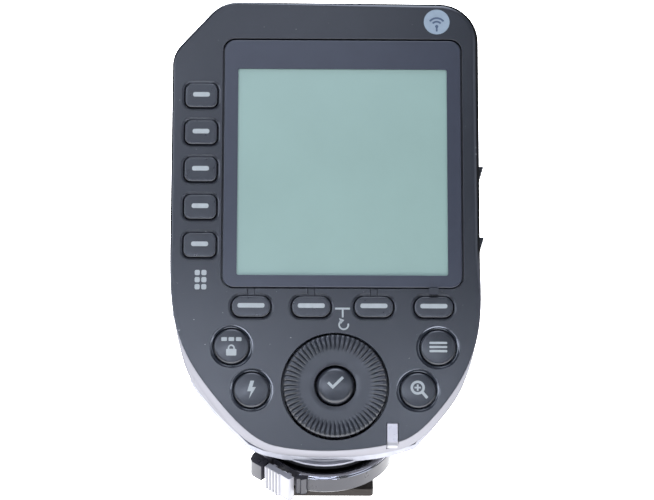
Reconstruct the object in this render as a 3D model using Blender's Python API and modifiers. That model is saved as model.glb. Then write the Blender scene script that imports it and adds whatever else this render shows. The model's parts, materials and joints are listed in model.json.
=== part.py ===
"""Wireless flash trigger for a camera's accessory shoe.

A slab-shaped control head leans back 45 degrees over an accessory foot. The panel looks toward -Y
and up, the foot slides into a camera's shoe at the origin, and +Y points the way the lens looks.
Sizes are in millimetres and become metres when a mesh is made.

Two frames are used. The foot frame is the world: its origin is the centre of the foot plate's
bottom face. The panel frame hangs on an empty: x runs across the panel, y up the panel, z out of it.
"""
import math

import bmesh
import bpy
from mathutils import Matrix, Vector

MM = 0.001
GAP = 0.3                    # clearance kept between neighbouring pieces
SLIM_GAP = 0.2               # clearance of the light pipe and the door in their slots
FAR = 40.0                   # how far a cutter runs past the case
FLAT_TURN = (0.0, 0.0, 0.0)
SIDE_TURN = (math.pi / 2, 0.0, math.pi / 2)     # carries x up the panel and y out of it

# Panel frame
PANEL_LEAN = math.radians(45.0)
PANEL_CENTRE = (0.0, 22.4, 52.6)

# Slab outline, in the panel frame
HALF_WIDTH = 29.0
TOP = 33.2
TOP_RIGHT_RADIUS = 7.5
CHAMFER_TOP = (-19.7, TOP)
CHAMFER_SIDE = (-HALF_WIDTH, 22.9)
CHAMFER_TOP_RADIUS = 7.0
CHAMFER_SIDE_RADIUS = 6.0
LEFT_FOOT = (-14.0, -50.25)
RIGHT_FOOT = (16.8, -50.1)
LEFT_FLANK = [(-HALF_WIDTH, -14.0), (-HALF_WIDTH, -31.4), (-27.7, -35.4), LEFT_FOOT]
RIGHT_FLANK = [RIGHT_FOOT, (29.9, -35.6), (HALF_WIDTH, -27.1), (HALF_WIDTH, -16.0)]
CHIN = [LEFT_FOOT, (-8.5, -54.2), (9.5, -53.8), RIGHT_FOOT]

# Casing
PLATE = 2.0                  # thickness of the panel's face
WALL = 1.2
FRONT_DEPTH = 11.0           # the front shell's side walls
CASE_DEPTH = 27.0            # panel face to the back of the case
BACK_FLOOR = 24.8            # inner face of the rear cover's back wall
FLARE = 0.3                  # how far the lower walls lean outward
FLARE_START = -24.0
FLARE_END = -36.0
UNDERSIDE = 10.3             # height where the case walls end above the shoe base
TOP_SLOPE_START = 19.0       # the back slopes toward the top from here
TOP_SLOPE_RATIO = 10.0 / 15.0
SLOPE_WALL = 3.4             # thickness of the sloping back, measured up the panel
FRONT_EDGE = ((FRONT_DEPTH, 0.0), (1.5, 0.0), (0.7, 0.12), (0.2, 0.55), (0.0, 1.25))
BACK_EDGE = ((CASE_DEPTH - 1.6, 0.2), (CASE_DEPTH - 0.5, 0.7), (CASE_DEPTH, 1.4))

# Screen
WINDOW = (3.2, 1.68, 44.6, 47.8)      # centre x, y, width, height
WINDOW_RADIUS = 2.0
WINDOW_GAP = 0.36
WINDOW_LEDGE = 1.3
WINDOW_THICKNESS = 1.0
SCREEN = (3.19, 0.0, 39.46, 39.91)
SCREEN_OPENING = (41.06, 41.31, 0.8)  # width, height, corner radius
LCD_DEPTH = (-4.6, -2.3)
BACKLIGHT_DEPTH = (-5.8, -4.9)

# Keys
GROUP_X = -23.45
GROUP_Y = (14.6, 7.42, 0.22, -7.0, -14.3)
GROUP_KEY = (6.04, 4.6, 1.2)          # width, height, corner radius
FUNCTION_X = (-13.77, -2.58, 9.06, 20.2)
FUNCTION_Y = -25.97
FUNCTION_KEY = (7.2, 3.87, 1.75)
GROUP_OPENING = (7.14, 5.7, 1.5)
FUNCTION_OPENING = (8.5, 4.87, 2.15)
KEY_CLEARANCE = 0.55
KEY_FLANGE = 0.85
KEY_PROUD = 0.35
FLANGE_TOP = -2.3
FLANGE_BOTTOM = -3.0
NECK_WIDTH = 1.35
NECK_DEPTH = 0.5
ROUND_KEYS = {
    "mode_button": (-17.35, -33.48),
    "flash_test_button": (-13.58, -41.65),
    "menu_button": (20.98, -33.57),
    "zoom_button": (17.24, -41.62),
}
ROUND_KEY_RADIUS = 3.15
ROUND_KEY_FLANGE = 0.4
ROUND_RECESS_RADIUS = 3.8
DIAL_CENTRE = (1.89, -40.9)
DIAL_HOLE = 10.08
DIAL_RADIUS = 9.6
DIAL_BORE = 3.87
DIAL_RIDGES = 60
DIAL_GROOVE = 0.28
DIAL_BOTTOM = -3.0
SET_RADIUS = 3.5
MAT_TOP = -3.8
MAT_BOTTOM = -4.6
MAT_OUTLINE = ((26.6, -22.6), (-18.6, -22.6), (-18.6, 19.5), (-27.2, 19.5), (-27.2, -21.0),
               (-25.6, -28.5), (-20.5, -38.5), (-14.0, -47.6), (16.0, -47.6), (22.5, -38.5),
               (26.6, -29.0))
ENCODER_RADIUS = 7.6
ENCODER_DEPTH = (-5.9, -3.5)
BOARD_OUTLINE = ((23.0, 21.8), (-20.5, 21.8), (-20.5, -36.0), (-12.0, -46.5), (14.0, -46.5),
                 (23.0, -36.0))
BOARD_DEPTH = (-7.2, -6.2)

# Light pipe at the chin
PIPE_X = 12.47
PIPE_WIDTH = 1.95
PIPE_TOP = -47.8
PIPE_DROP = 3.5
PIPE_THICKNESS = 1.5

# Side controls and sockets
SWITCH_DEPTH = -7.2
SWITCH_HALF = (1.45, 1.6)             # half length along the panel, half width through the case
SWITCH_TRAVEL = 3.0
SWITCHES = {"power_switch": 1.2, "assist_switch": -12.6}
USB_CENTRE = (-23.0, -7.6)
USB_OPENING = (9.6, 3.9, 1.8)         # width, height, corner radius
USB_SLEEVE = (8.9, 3.2, 1.5)
USB_MOUTH = (8.3, 2.6, 1.25)
JACK_CENTRE = (18.9, -7.2)
JACK_OPENING_RADIUS = 2.5
SOCKET_CUT = (-32.0, -26.0)           # across the left wall

# Focus-assist lamp
LAMP_CENTRE = (0.0, -26.6)
LAMP_WINDOW = (20.2, 6.0, 1.7)        # width, height, corner radius
LAMP_POCKET = (20.8, 6.6, 2.0)
LAMP_OPENING = (18.6, 4.6, 1.4)
LAMP_THICKNESS = 1.0
LED_RADIUS = 1.9
LED_DEPTH = (-24.2, -20.5)

# Power
CELL_RADIUS = 7.15
CELL_LENGTH = 49.6
CELL_Y = (6.4, -9.6)
CELL_Z = -17.2
DOOR = (26.7, -19.3, 19.0)            # half width, lower end, upper end
DOOR_THICKNESS = 1.25
CELL_OPENING = (26.1, -17.6, 14.4)    # half width, lower end, upper end
TRAY = (26.9, -18.3, 15.1)            # the same three of the tray's outside
TRAY_HOLLOW = (26.35, -17.6, 14.4)
TRAY_TOP = -9.0
TRAY_FLOOR = 0.6
CONTACT_PLATE = (25.95, 26.25)        # from and to, across the case
LINK_PLATE = (-26.25, -25.9)
PLATE_REACH = 5.0                     # how far a contact plate reaches past a cell's axis

# Shoe
FOOT_HALF = 9.3
FOOT_THICKNESS = 2.0
STEM_HALF = (6.1, 7.6)
NECK_RADIUS = 10.5
COLLAR_RADIUS = 13.3
COLLAR_BOTTOM = 4.2
COLLAR_TOP = 7.64
BASE_BOTTOM = 8.9
BASE_TOP = 10.0
LUG_ANGLE = math.radians(-132.8)
BUTTON_SPAN = (-1.65, 4.6)
BUTTON_FACE = 14.7
CONTACTS = ((0.0, 0.0, 1.15), (2.3, 3.4, 0.65), (-2.3, 3.4, 0.65), (2.3, -3.4, 0.65),
            (-2.3, -3.4, 0.65))
CONTACT_GAP = 0.25
FOOT_SCREWS = ((4.75, 5.9), (-4.75, 5.9), (4.75, -5.9), (-4.75, -5.9))
LOCK_PIN = (0.0, 6.6)
SCREW_HOLE = 1.1
PIN_HOLE = 1.2
SPRING_SEAT = 5.9            # height of the release spring's axis
CASE_SCREWS = ((-19.8, 27.2), (23.2, 27.4))
CASE_SCREW_BORE = 1.05
FRONT_BOSS_RADIUS = 2.1
REAR_BOSS_RADIUS = 3.0
REAR_BOSS_END = -18.6
SCREW_SEAT_RADIUS = 2.0
SCREW_SEAT = -17.0


# --- scene and materials ---------------------------------------------------------------------

def clear_scene():
    for item in list(bpy.data.objects):
        bpy.data.objects.remove(item, do_unlink=True)


def make_collection(name):
    group = bpy.data.collections.new(name)
    bpy.context.scene.collection.children.link(group)
    return group


def finish(name, colour, roughness, metallic=0.0):
    material = bpy.data.materials.new(name)
    material.use_nodes = True
    shader = material.node_tree.nodes["Principled BSDF"]
    shader.inputs["Base Color"].default_value = (*colour, 1.0)
    shader.inputs["Roughness"].default_value = roughness
    shader.inputs["Metallic"].default_value = metallic
    return material


clear_scene()
PARTS = make_collection("wireless_flash_trigger")
CUTTERS = make_collection("cutters")
SHELL = finish("black_shell", (0.045, 0.050, 0.058), 0.42)
GLASS = finish("window_pane", (0.030, 0.035, 0.050), 0.10)
LCD = finish("lcd_grey_green", (0.33, 0.48, 0.47), 0.25)
KEY = finish("key_rubber", (0.035, 0.038, 0.043), 0.50)
PIPE = finish("light_pipe", (0.70, 0.70, 0.74), 0.30)
COLLAR = finish("collar_satin", (0.20, 0.20, 0.22), 0.30)
PALE = finish("pale_grip", (0.72, 0.71, 0.74), 0.45)
FOOT = finish("foot_plate", (0.040, 0.034, 0.032), 0.45)
STEEL = finish("spring_steel", (0.62, 0.62, 0.64), 0.28, 1.0)
BRASS = finish("contact_brass", (0.75, 0.58, 0.28), 0.30, 1.0)
BOARD = finish("circuit_board", (0.02, 0.13, 0.06), 0.45)
LAMP = finish("lamp_red", (0.20, 0.01, 0.01), 0.12)
CELL = finish("cell_sleeve", (0.12, 0.13, 0.15), 0.35)


# --- frames ----------------------------------------------------------------------------------

def make_panel_frame():
    frame = bpy.data.objects.new("panel_frame", None)
    frame.empty_display_size = 0.01
    frame.location = Vector(PANEL_CENTRE) * MM
    frame.rotation_euler = (math.pi / 2 - PANEL_LEAN, 0.0, 0.0)
    PARTS.objects.link(frame)
    return frame


PANEL = make_panel_frame()


def place(item, position, frame, turn=FLAT_TURN):
    item.location = Vector(position) * MM
    item.rotation_euler = turn
    item.parent = frame


def wear(item, material, cutter):
    """Put an object in its collection with its material, or among the cutters."""
    if cutter:
        CUTTERS.objects.link(item)
        item.hide_render = True
        item.display_type = "WIRE"
        return
    PARTS.objects.link(item)
    item.data.materials.append(material)


# --- outlines --------------------------------------------------------------------------------

def fillet(before, corner, after, radius, steps):
    """Points of the arc that rounds one corner, from the side of before to the side of after."""
    corner = Vector(corner)
    back = (Vector(before) - corner).normalized()
    ahead = (Vector(after) - corner).normalized()
    half = back.angle(ahead) / 2
    centre = corner + (back + ahead).normalized() * radius / math.sin(half)
    start = corner + back * radius / math.tan(half) - centre
    end = corner + ahead * radius / math.tan(half) - centre
    sweep = math.atan2(start.cross(end), start.dot(end))
    return [
        tuple(centre + Matrix.Rotation(sweep * step / steps, 2) @ start)
        for step in range(steps + 1)
    ]


def rounded(corners, radii, steps=3):
    """A closed outline through the corners, each one rounded by its own radius."""
    points = []
    count = len(corners)
    for index, corner in enumerate(corners):
        before = corners[index - 1]
        after = corners[(index + 1) % count]
        points += fillet(before, corner, after, radii[index], steps)
    return points


def rounded_box(centre, width, height, radius, steps=3):
    x, y = centre
    a, b = width / 2, height / 2
    corners = [(x + a, y - b), (x + a, y + b), (x - a, y + b), (x - a, y - b)]
    return rounded(corners, [radius] * 4, steps)


def bezier(handles, steps):
    """Points of a cubic curve, without its last one."""
    points = []
    for step in range(steps):
        t = step / steps
        weights = ((1 - t) ** 3, 3 * t * (1 - t) ** 2, 3 * t * t * (1 - t), t ** 3)
        x = sum(weight * handle[0] for weight, handle in zip(weights, handles))
        y = sum(weight * handle[1] for weight, handle in zip(weights, handles))
        points.append((x, y))
    return points


def slab_outline():
    """The panel's outline, counterclockwise from the top right corner."""
    top_right = (HALF_WIDTH, TOP)
    points = fillet((HALF_WIDTH, 0.0), top_right, (0.0, TOP), TOP_RIGHT_RADIUS, 6)
    points += fillet((0.0, TOP), CHAMFER_TOP, CHAMFER_SIDE, CHAMFER_TOP_RADIUS, 3)
    points += fillet(CHAMFER_TOP, CHAMFER_SIDE, (-HALF_WIDTH, 0.0), CHAMFER_SIDE_RADIUS, 3)
    points += bezier(LEFT_FLANK, 8)
    points += bezier(CHIN, 8)
    points += bezier(RIGHT_FLANK, 8)
    points.append(RIGHT_FLANK[-1])
    return points


def inset(points, distances):
    """Move each point of a counterclockwise outline inward, by one distance or one each."""
    count = len(points)
    if not isinstance(distances, list):
        distances = [distances] * count
    moved = []
    for index in range(count):
        here = Vector(points[index])
        back = (here - Vector(points[index - 1])).normalized()
        ahead = (Vector(points[(index + 1) % count]) - here).normalized()
        normal = Vector((-back.y - ahead.y, back.x + ahead.x)).normalized()
        miter = max(0.5, normal.dot(Vector((-back.y, back.x))))
        moved.append(tuple(here + normal * distances[index] / miter))
    return moved


def flare(points, depth):
    """How far each point of the lower wall leans out at a depth behind the panel."""
    leans = []
    for _, y in points:
        share = min(1.0, max(0.0, (FLARE_START - y) / (FLARE_START - FLARE_END)))
        leans.append(-FLARE * share * min(1.0, depth / FRONT_DEPTH))
    return leans


# --- solids ----------------------------------------------------------------------------------

def mesh_object(name, mesh, position, frame, material, cutter, turn=FLAT_TURN):
    item = bpy.data.objects.new(name, mesh)
    place(item, position, frame, turn)
    wear(item, material, cutter)
    return item


def closed_mesh(name, bm):
    bmesh.ops.recalc_face_normals(bm, faces=bm.faces)
    mesh = bpy.data.meshes.new(name)
    bm.to_mesh(mesh)
    bm.free()
    mesh.shade_smooth()
    mesh.set_sharp_from_angle(angle=math.radians(35))
    return mesh


def loft(name, rings, material=None, position=(0, 0, 0), frame=PANEL, cutter=False):
    """A closed body through rings of equal point count, with flat ends."""
    bm = bmesh.new()
    rows = [[bm.verts.new(Vector(point) * MM) for point in ring] for ring in rings]
    count = len(rows[0])
    bm.faces.new(rows[0])
    bm.faces.new(rows[-1])
    for lower, upper in zip(rows, rows[1:]):
        for index in range(count):
            after = (index + 1) % count
            bm.faces.new((lower[index], lower[after], upper[after], upper[index]))
    bmesh.ops.triangulate(bm, faces=[face for face in bm.faces if len(face.verts) == 4])
    return mesh_object(name, closed_mesh(name, bm), position, frame, material, cutter)


def plate(name, outline, low, high, material=None, position=(0, 0, 0), frame=PANEL,
          cutter=False, turn=FLAT_TURN):
    """A flat outline with thickness: a filled 2D curve, made into a closed mesh."""
    curve = bpy.data.curves.new(name, "CURVE")
    curve.dimensions = "2D"
    curve.fill_mode = "BOTH"
    curve.extrude = (high - low) / 2 * MM
    spline = curve.splines.new("POLY")
    spline.points.add(len(outline) - 1)
    for point, (x, y) in zip(spline.points, outline):
        point.co = (x * MM, y * MM, 0.0, 1.0)
    spline.use_cyclic_u = True
    sketch = bpy.data.objects.new(name + "_sketch", curve)
    CUTTERS.objects.link(sketch)
    depsgraph = bpy.context.evaluated_depsgraph_get()
    mesh = bpy.data.meshes.new_from_object(sketch.evaluated_get(depsgraph))
    bpy.data.objects.remove(sketch, do_unlink=True)
    bm = bmesh.new()
    bm.from_mesh(mesh)
    bmesh.ops.remove_doubles(bm, verts=bm.verts, dist=1e-7)
    bmesh.ops.translate(bm, verts=bm.verts, vec=(0.0, 0.0, (low + high) / 2 * MM))
    bpy.data.meshes.remove(mesh)
    return mesh_object(name, closed_mesh(name, bm), position, frame, material, cutter, turn)


def box(name, low, high, material=None, position=(0, 0, 0), frame=PANEL, cutter=False):
    bm = bmesh.new()
    bmesh.ops.create_cube(bm, size=1.0)
    size = Vector(high) - Vector(low)
    bmesh.ops.scale(bm, verts=bm.verts, vec=size * MM)
    bmesh.ops.translate(bm, verts=bm.verts, vec=(Vector(low) + size / 2) * MM)
    return mesh_object(name, closed_mesh(name, bm), position, frame, material, cutter)


def rod(name, radius, low, high, material=None, position=(0, 0, 0), frame=PANEL,
        cutter=False, steps=20, turn=FLAT_TURN):
    """A round bar along its own z axis."""
    bm = bmesh.new()
    bmesh.ops.create_cone(bm, cap_ends=True, segments=steps, radius1=radius * MM,
                          radius2=radius * MM, depth=(high - low) * MM)
    bmesh.ops.translate(bm, verts=bm.verts, vec=(0.0, 0.0, (low + high) / 2 * MM))
    return mesh_object(name, closed_mesh(name, bm), position, frame, material, cutter, turn)


def turned(name, profile, material=None, position=(0, 0, 0), frame=PANEL, steps=24,
           ring=False, turn=FLAT_TURN):
    """A body of revolution: a profile of radius and height, top to bottom down its outside."""
    bm = bmesh.new()
    verts = [bm.verts.new((radius * MM, 0.0, height * MM)) for radius, height in profile]
    for first, second in zip(verts, verts[1:]):
        bm.edges.new((first, second))
    if ring:
        bm.edges.new((verts[-1], verts[0]))
    mesh = bpy.data.meshes.new(name)
    bm.to_mesh(mesh)
    bm.free()
    item = mesh_object(name, mesh, position, frame, material, False, turn)
    screw = item.modifiers.new("turn", "SCREW")
    screw.axis = "Z"
    screw.angle = 2 * math.pi
    screw.steps = steps
    screw.render_steps = steps
    screw.use_merge_vertices = True
    screw.merge_threshold = 0.00001
    screw.use_smooth_shade = True
    return item


def coil(name, radii, low, high, turns, wire, material, position, frame, turn=FLAT_TURN):
    """A coil spring along z whose radius runs from radii[0] to radii[1]."""
    per_turn = 10
    count = int(turns * per_turn) + 1
    curve = bpy.data.curves.new(name, "CURVE")
    curve.dimensions = "3D"
    curve.bevel_depth = wire / 2 * MM
    curve.bevel_resolution = 2
    curve.use_fill_caps = True
    spline = curve.splines.new("POLY")
    spline.points.add(count - 1)
    for index, point in enumerate(spline.points):
        share = index / (count - 1)
        angle = 2 * math.pi * turns * share
        radius = radii[0] + (radii[1] - radii[0]) * share
        height = low + (high - low) * share
        point.co = (radius * math.cos(angle) * MM, radius * math.sin(angle) * MM, height * MM, 1.0)
    item = bpy.data.objects.new(name, curve)
    place(item, position, frame, turn)
    wear(item, material, False)
    return item


def boolean(item, tool, operation="DIFFERENCE"):
    step = item.modifiers.new(tool.name, "BOOLEAN")
    step.operation = operation
    step.solver = "EXACT"
    step.object = tool


def cut(item, *tools):
    for tool in tools:
        boolean(item, tool)


def join(item, *tools):
    for tool in tools:
        boolean(item, tool, "UNION")


# --- casing ----------------------------------------------------------------------------------

def ring_at(outline, depth, inward=0.0):
    """The slab's section at a depth behind the panel, drawn in by a distance."""
    leans = [lean + inward for lean in flare(outline, depth)]
    return [(x, y, -depth) for x, y in inset(outline, leans)]


def underside_cutter():
    """Everything below the horizontal plane where the case walls end."""
    return box("underside_cutter", (-FAR, -FAR, -FAR), (FAR, FAR, UNDERSIDE), frame=None, cutter=True)


def key_openings():
    """Cutters for the keys' recesses, through the panel's face."""
    tools = []
    low = -PLATE - 1.0
    for index, y in enumerate(GROUP_Y):
        outline = rounded_box((GROUP_X, y), *GROUP_OPENING)
        tools.append(plate(f"group_opening_{index + 1}", outline, low, 1.0, cutter=True))
    for index, x in enumerate(FUNCTION_X):
        outline = rounded_box((x, FUNCTION_Y), *FUNCTION_OPENING)
        tools.append(plate(f"function_opening_{index + 1}", outline, low, 1.0, cutter=True))
        top = WINDOW[1] - WINDOW[3] / 2
        tools.append(box(f"neck_{index + 1}", (x - NECK_WIDTH / 2, FUNCTION_Y, -NECK_DEPTH),
                         (x + NECK_WIDTH / 2, top, 1.0), cutter=True))
    for name, centre in ROUND_KEYS.items():
        tools.append(rod(name + "_opening", ROUND_RECESS_RADIUS, low, 1.0, position=(*centre, 0),
                         cutter=True, steps=28))
    tools.append(rod("dial_opening", DIAL_HOLE, low, 1.0, position=(*DIAL_CENTRE, 0),
                     cutter=True, steps=48))
    return tools


def front_panel(outline, underside):
    """Front shell: the face with its openings, and the case walls down to the seam."""
    shell = loft("front_panel", [ring_at(outline, *level) for level in FRONT_EDGE], SHELL)
    hollow = loft("front_hollow", [ring_at(outline, FRONT_DEPTH + 1, WALL),
                                   ring_at(outline, PLATE, WALL)], cutter=True)
    cut(shell, hollow)
    for index, centre in enumerate(CASE_SCREWS):
        join(shell, rod(f"front_boss_{index + 1}", FRONT_BOSS_RADIUS, -FRONT_DEPTH + 0.2,
                        -PLATE + 0.4, position=(*centre, 0), cutter=True, steps=16))
        cut(shell, rod(f"front_boss_hole_{index + 1}", CASE_SCREW_BORE, -FRONT_DEPTH - 1,
                       -2 * PLATE, position=(*centre, 0), cutter=True, steps=12))
    x, y, width, height = WINDOW
    pocket = rounded_box((x, y), width + 2 * WINDOW_GAP, height + 2 * WINDOW_GAP,
                         WINDOW_RADIUS + WINDOW_GAP, 4)
    through = rounded_box(SCREEN[:2], *SCREEN_OPENING)
    cut(shell, plate("window_pocket", pocket, -WINDOW_LEDGE, 1.0, cutter=True),
        plate("window_opening", through, -PLATE - 1, 0.0, cutter=True))
    cut(shell, *key_openings())
    half = PIPE_WIDTH / 2 + SLIM_GAP
    cut(shell, box("pipe_slot", (PIPE_X - half, -2 * FAR, -PIPE_DROP - SLIM_GAP),
                   (PIPE_X + half, PIPE_TOP + SLIM_GAP, 2), cutter=True))
    for name, y in SWITCHES.items():
        cut(shell, switch_slot(name, y))
    cut(shell, usb_opening(), jack_opening(), underside)
    return shell


def switch_slot(name, y):
    length, width = SWITCH_HALF
    low = (HALF_WIDTH - 3, y - SWITCH_TRAVEL - length - GAP, SWITCH_DEPTH - width - GAP)
    high = (HALF_WIDTH + 3, y + length + GAP, SWITCH_DEPTH + width + GAP)
    return box(name + "_slot", low, high, cutter=True)


def usb_opening():
    y, z = USB_CENTRE
    outline = rounded_box((0, 0), *USB_OPENING)
    return plate("usb_opening", outline, *SOCKET_CUT, position=(0, y, z), cutter=True,
                 turn=SIDE_TURN)


def jack_opening():
    y, z = JACK_CENTRE
    return rod("jack_opening", JACK_OPENING_RADIUS, *SOCKET_CUT, position=(0, y, z), cutter=True,
               turn=SIDE_TURN)


def slope_wedge(name, start):
    """A block whose face is the sloping back of the case above the door."""
    before = 15.0
    corners = [(start - before, -CASE_DEPTH - before * TOP_SLOPE_RATIO),
               (start - before, -CASE_DEPTH - FAR), (start + FAR, -CASE_DEPTH - FAR),
               (start + FAR, -CASE_DEPTH + FAR * TOP_SLOPE_RATIO)]
    return plate(name, corners, -FAR, FAR, cutter=True, turn=SIDE_TURN)


def rear_cover(outline, underside):
    """Rear shell: walls behind the seam, the back with the door recess, lamp and screw bosses."""
    seam = FRONT_DEPTH + GAP
    levels = ((seam, 0.0), *BACK_EDGE)
    shell = loft("rear_cover", [ring_at(outline, *level) for level in levels], SHELL)
    cut(shell, slope_wedge("slope_cutter", TOP_SLOPE_START))
    hollow = loft("rear_hollow", [ring_at(outline, seam - 1, WALL),
                                  ring_at(outline, BACK_FLOOR, WALL + 0.1)], cutter=True)
    cut(hollow, slope_wedge("inner_slope_cutter", TOP_SLOPE_START - SLOPE_WALL))
    cut(shell, hollow)
    for index, centre in enumerate(CASE_SCREWS):
        join(shell, rod(f"rear_boss_{index + 1}", REAR_BOSS_RADIUS, REAR_BOSS_END, -seam - 0.2,
                        position=(*centre, 0), cutter=True, steps=20))
        cut(shell, rod(f"rear_boss_hole_{index + 1}", CASE_SCREW_BORE, -FAR, -seam + 1,
                       position=(*centre, 0), cutter=True, steps=12),
            rod(f"rear_boss_seat_{index + 1}", SCREW_SEAT_RADIUS, -FAR, SCREW_SEAT,
                position=(*centre, 0), cutter=True, steps=20))
    half, low, _ = DOOR
    recess_floor = -CASE_DEPTH + DOOR_THICKNESS + SLIM_GAP
    cut(shell, box("door_recess", (-half - GAP, low - GAP, -FAR), (half + GAP, FAR, recess_floor),
                   cutter=True))
    half, low, high = CELL_OPENING
    cut(shell, box("cell_opening", (-half, low, -FAR), (half, high, -FAR / 2), cutter=True))
    cut(shell, plate("lamp_opening", rounded_box(LAMP_CENTRE, *LAMP_OPENING), -FAR, -FAR / 2,
                     cutter=True),
        plate("lamp_pocket", rounded_box(LAMP_CENTRE, *LAMP_POCKET), -FAR,
              -CASE_DEPTH + LAMP_THICKNESS + GAP, cutter=True), underside)
    return shell


def battery_door():
    """Flat cover that slides up the back of the case."""
    half, low, high = DOOR
    outline = rounded([(half, low), (half, high), (-half, high), (-half, low)],
                      [1.5, 0.4, 0.4, 1.5], 3)
    return plate("battery_door", outline, -CASE_DEPTH, -CASE_DEPTH + DOOR_THICKNESS, SHELL)


def clip_behind(points, limit):
    """The stretch of an outline in front of a line across it, cut off cleanly at the line."""
    kept = []
    for first, second in zip(points, points[1:]):
        share = (limit - first[1]) / (second[1] - first[1]) if second[1] != first[1] else 2.0
        crossing = (first[0] + (second[0] - first[0]) * share, limit)
        if first[1] > limit > second[1]:
            kept.append(crossing)
        if second[1] < limit:
            kept.append(second)
        elif first[1] < limit:
            kept.append(crossing)
    return kept


def base_outline(outline, outward, corner):
    """The case's section by a level plane at the underside, seen from above."""
    lean = math.sin(PANEL_LEAN)
    depth_sum = (PANEL_CENTRE[2] - BASE_TOP) / lean
    rear_y = PANEL_CENTRE[1] + lean * (2 * CASE_DEPTH - depth_sum)
    level = [(x, PANEL_CENTRE[1] + lean * (2 * y + depth_sum)) for x, y in outline]
    section = clip_behind(level, rear_y)
    left, right = section[0], section[-1]
    chin = section[1:-1]
    chin = [point for point in chin if point[1] < rear_y - corner]
    points = fillet(chin[-1], right, left, corner, 3)
    points += fillet(right, left, chin[0], corner, 3) + chin
    return inset(points, -outward)


def shoe_base(outline):
    """Floor of the case with the round neck that carries the collar and the foot."""
    rim = base_outline(outline, 0.2, 1.6)
    base = plate("shoe_base", rim, BASE_BOTTOM, BASE_TOP, SHELL, frame=None)
    lip = base_outline(outline, -3.2, 6.0)
    hollow = base_outline(outline, -4.2, 6.0)
    join(base, plate("base_lip", lip, BASE_TOP - 0.5, BASE_TOP + 1.8, frame=None, cutter=True))
    cut(base, plate("base_lip_hollow", hollow, BASE_TOP, BASE_TOP + 4, frame=None, cutter=True))
    join(base, rod("neck_core", NECK_RADIUS, 5.2, BASE_TOP - 0.4, frame=None, cutter=True,
                   steps=40),
         rod("neck_step", NECK_RADIUS + 0.9, 8.25, BASE_BOTTOM + 0.3, frame=None, cutter=True,
             steps=40))
    for index, centre in enumerate(FOOT_SCREWS):
        cut(base, rod(f"neck_screw_hole_{index + 1}", SCREW_HOLE, 0, 9.3, position=(*centre, 0),
                      frame=None, cutter=True, steps=12))
    cut(base, rod("neck_pin_hole", PIN_HOLE, 0, 20, position=(*LOCK_PIN, 0), frame=None,
                  cutter=True, steps=14),
        rod("neck_wire_hole", 2.0, 0, 20, frame=None, cutter=True, steps=16))
    return base


# --- screen ----------------------------------------------------------------------------------

def screen_stack():
    x, y, width, height = WINDOW
    plate("screen_window", rounded_box((x, y), width, height, WINDOW_RADIUS, 4),
          -WINDOW_THICKNESS, 0.0, GLASS)
    x, y, width, height = SCREEN
    for name, side, end, (low, high), material in (
            ("lcd_module", 0.9, 1.0, LCD_DEPTH, LCD),
            ("lcd_backlight", 0.5, 0.6, BACKLIGHT_DEPTH, PIPE)):
        box(name, (x - width / 2 - side, y - height / 2 - end, low),
            (x + width / 2 + side, y + height / 2 + end, high), material)


def chin_edge(x):
    """Height of the panel's lower edge at a place across it."""
    handles = bezier(CHIN, 40) + [RIGHT_FOOT]
    return min(handles, key=lambda point: abs(point[0] - x))[1]


def light_pipe():
    """Angled strip that carries the status light over the panel's lower edge."""
    edge = chin_edge(PIPE_X)
    inner = edge + 1.3
    corners = [(PIPE_TOP, 0.0), (PIPE_TOP, -PIPE_THICKNESS), (inner, -PIPE_THICKNESS),
               (inner, -PIPE_DROP), (edge - 0.1, -PIPE_DROP), (edge + 0.05, -0.4),
               (edge + 0.35, 0.0)]
    return plate("light_pipe", corners, -PIPE_WIDTH / 2, PIPE_WIDTH / 2, PIPE,
                 position=(PIPE_X, 0, 0), turn=SIDE_TURN)


# --- keys and dial ---------------------------------------------------------------------------

def flat_key(name, centre, size, steps=3):
    """A rounded rectangular key with a retaining flange under the panel."""
    width, height, radius = size
    reach = KEY_CLEARANCE + KEY_FLANGE - 0.5

    def ring(grow, z):
        outline = rounded_box((0, 0), width + 2 * grow, height + 2 * grow, radius + grow, steps)
        return [(x, y, z) for x, y in outline]

    rings = [ring(reach, FLANGE_BOTTOM), ring(reach, FLANGE_TOP), ring(0.0, FLANGE_TOP),
             ring(0.0, -0.05), ring(-0.12, KEY_PROUD - 0.12), ring(-0.45, KEY_PROUD)]
    return loft(name, rings, KEY, position=(*centre, 0))


def round_key(name, centre):
    r = ROUND_KEY_RADIUS
    wide = r + ROUND_KEY_FLANGE
    profile = [(0.0, 0.42), (1.6, 0.38), (2.6, 0.26), (r - 0.1, 0.05), (r, -0.2), (r, FLANGE_TOP),
               (wide, FLANGE_TOP), (wide, FLANGE_BOTTOM), (0.0, FLANGE_BOTTOM)]
    return turned(name, profile, KEY, position=(*centre, 0), steps=20)


def set_button():
    r = SET_RADIUS
    profile = [(0.0, 1.25), (1.5, 1.17), (2.6, 0.92), (r - 0.15, 0.5), (r, 0.2), (r, -2.7),
               (0.0, -2.7)]
    return turned("set_button", profile, KEY, position=(*DIAL_CENTRE, 0), steps=24)


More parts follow.
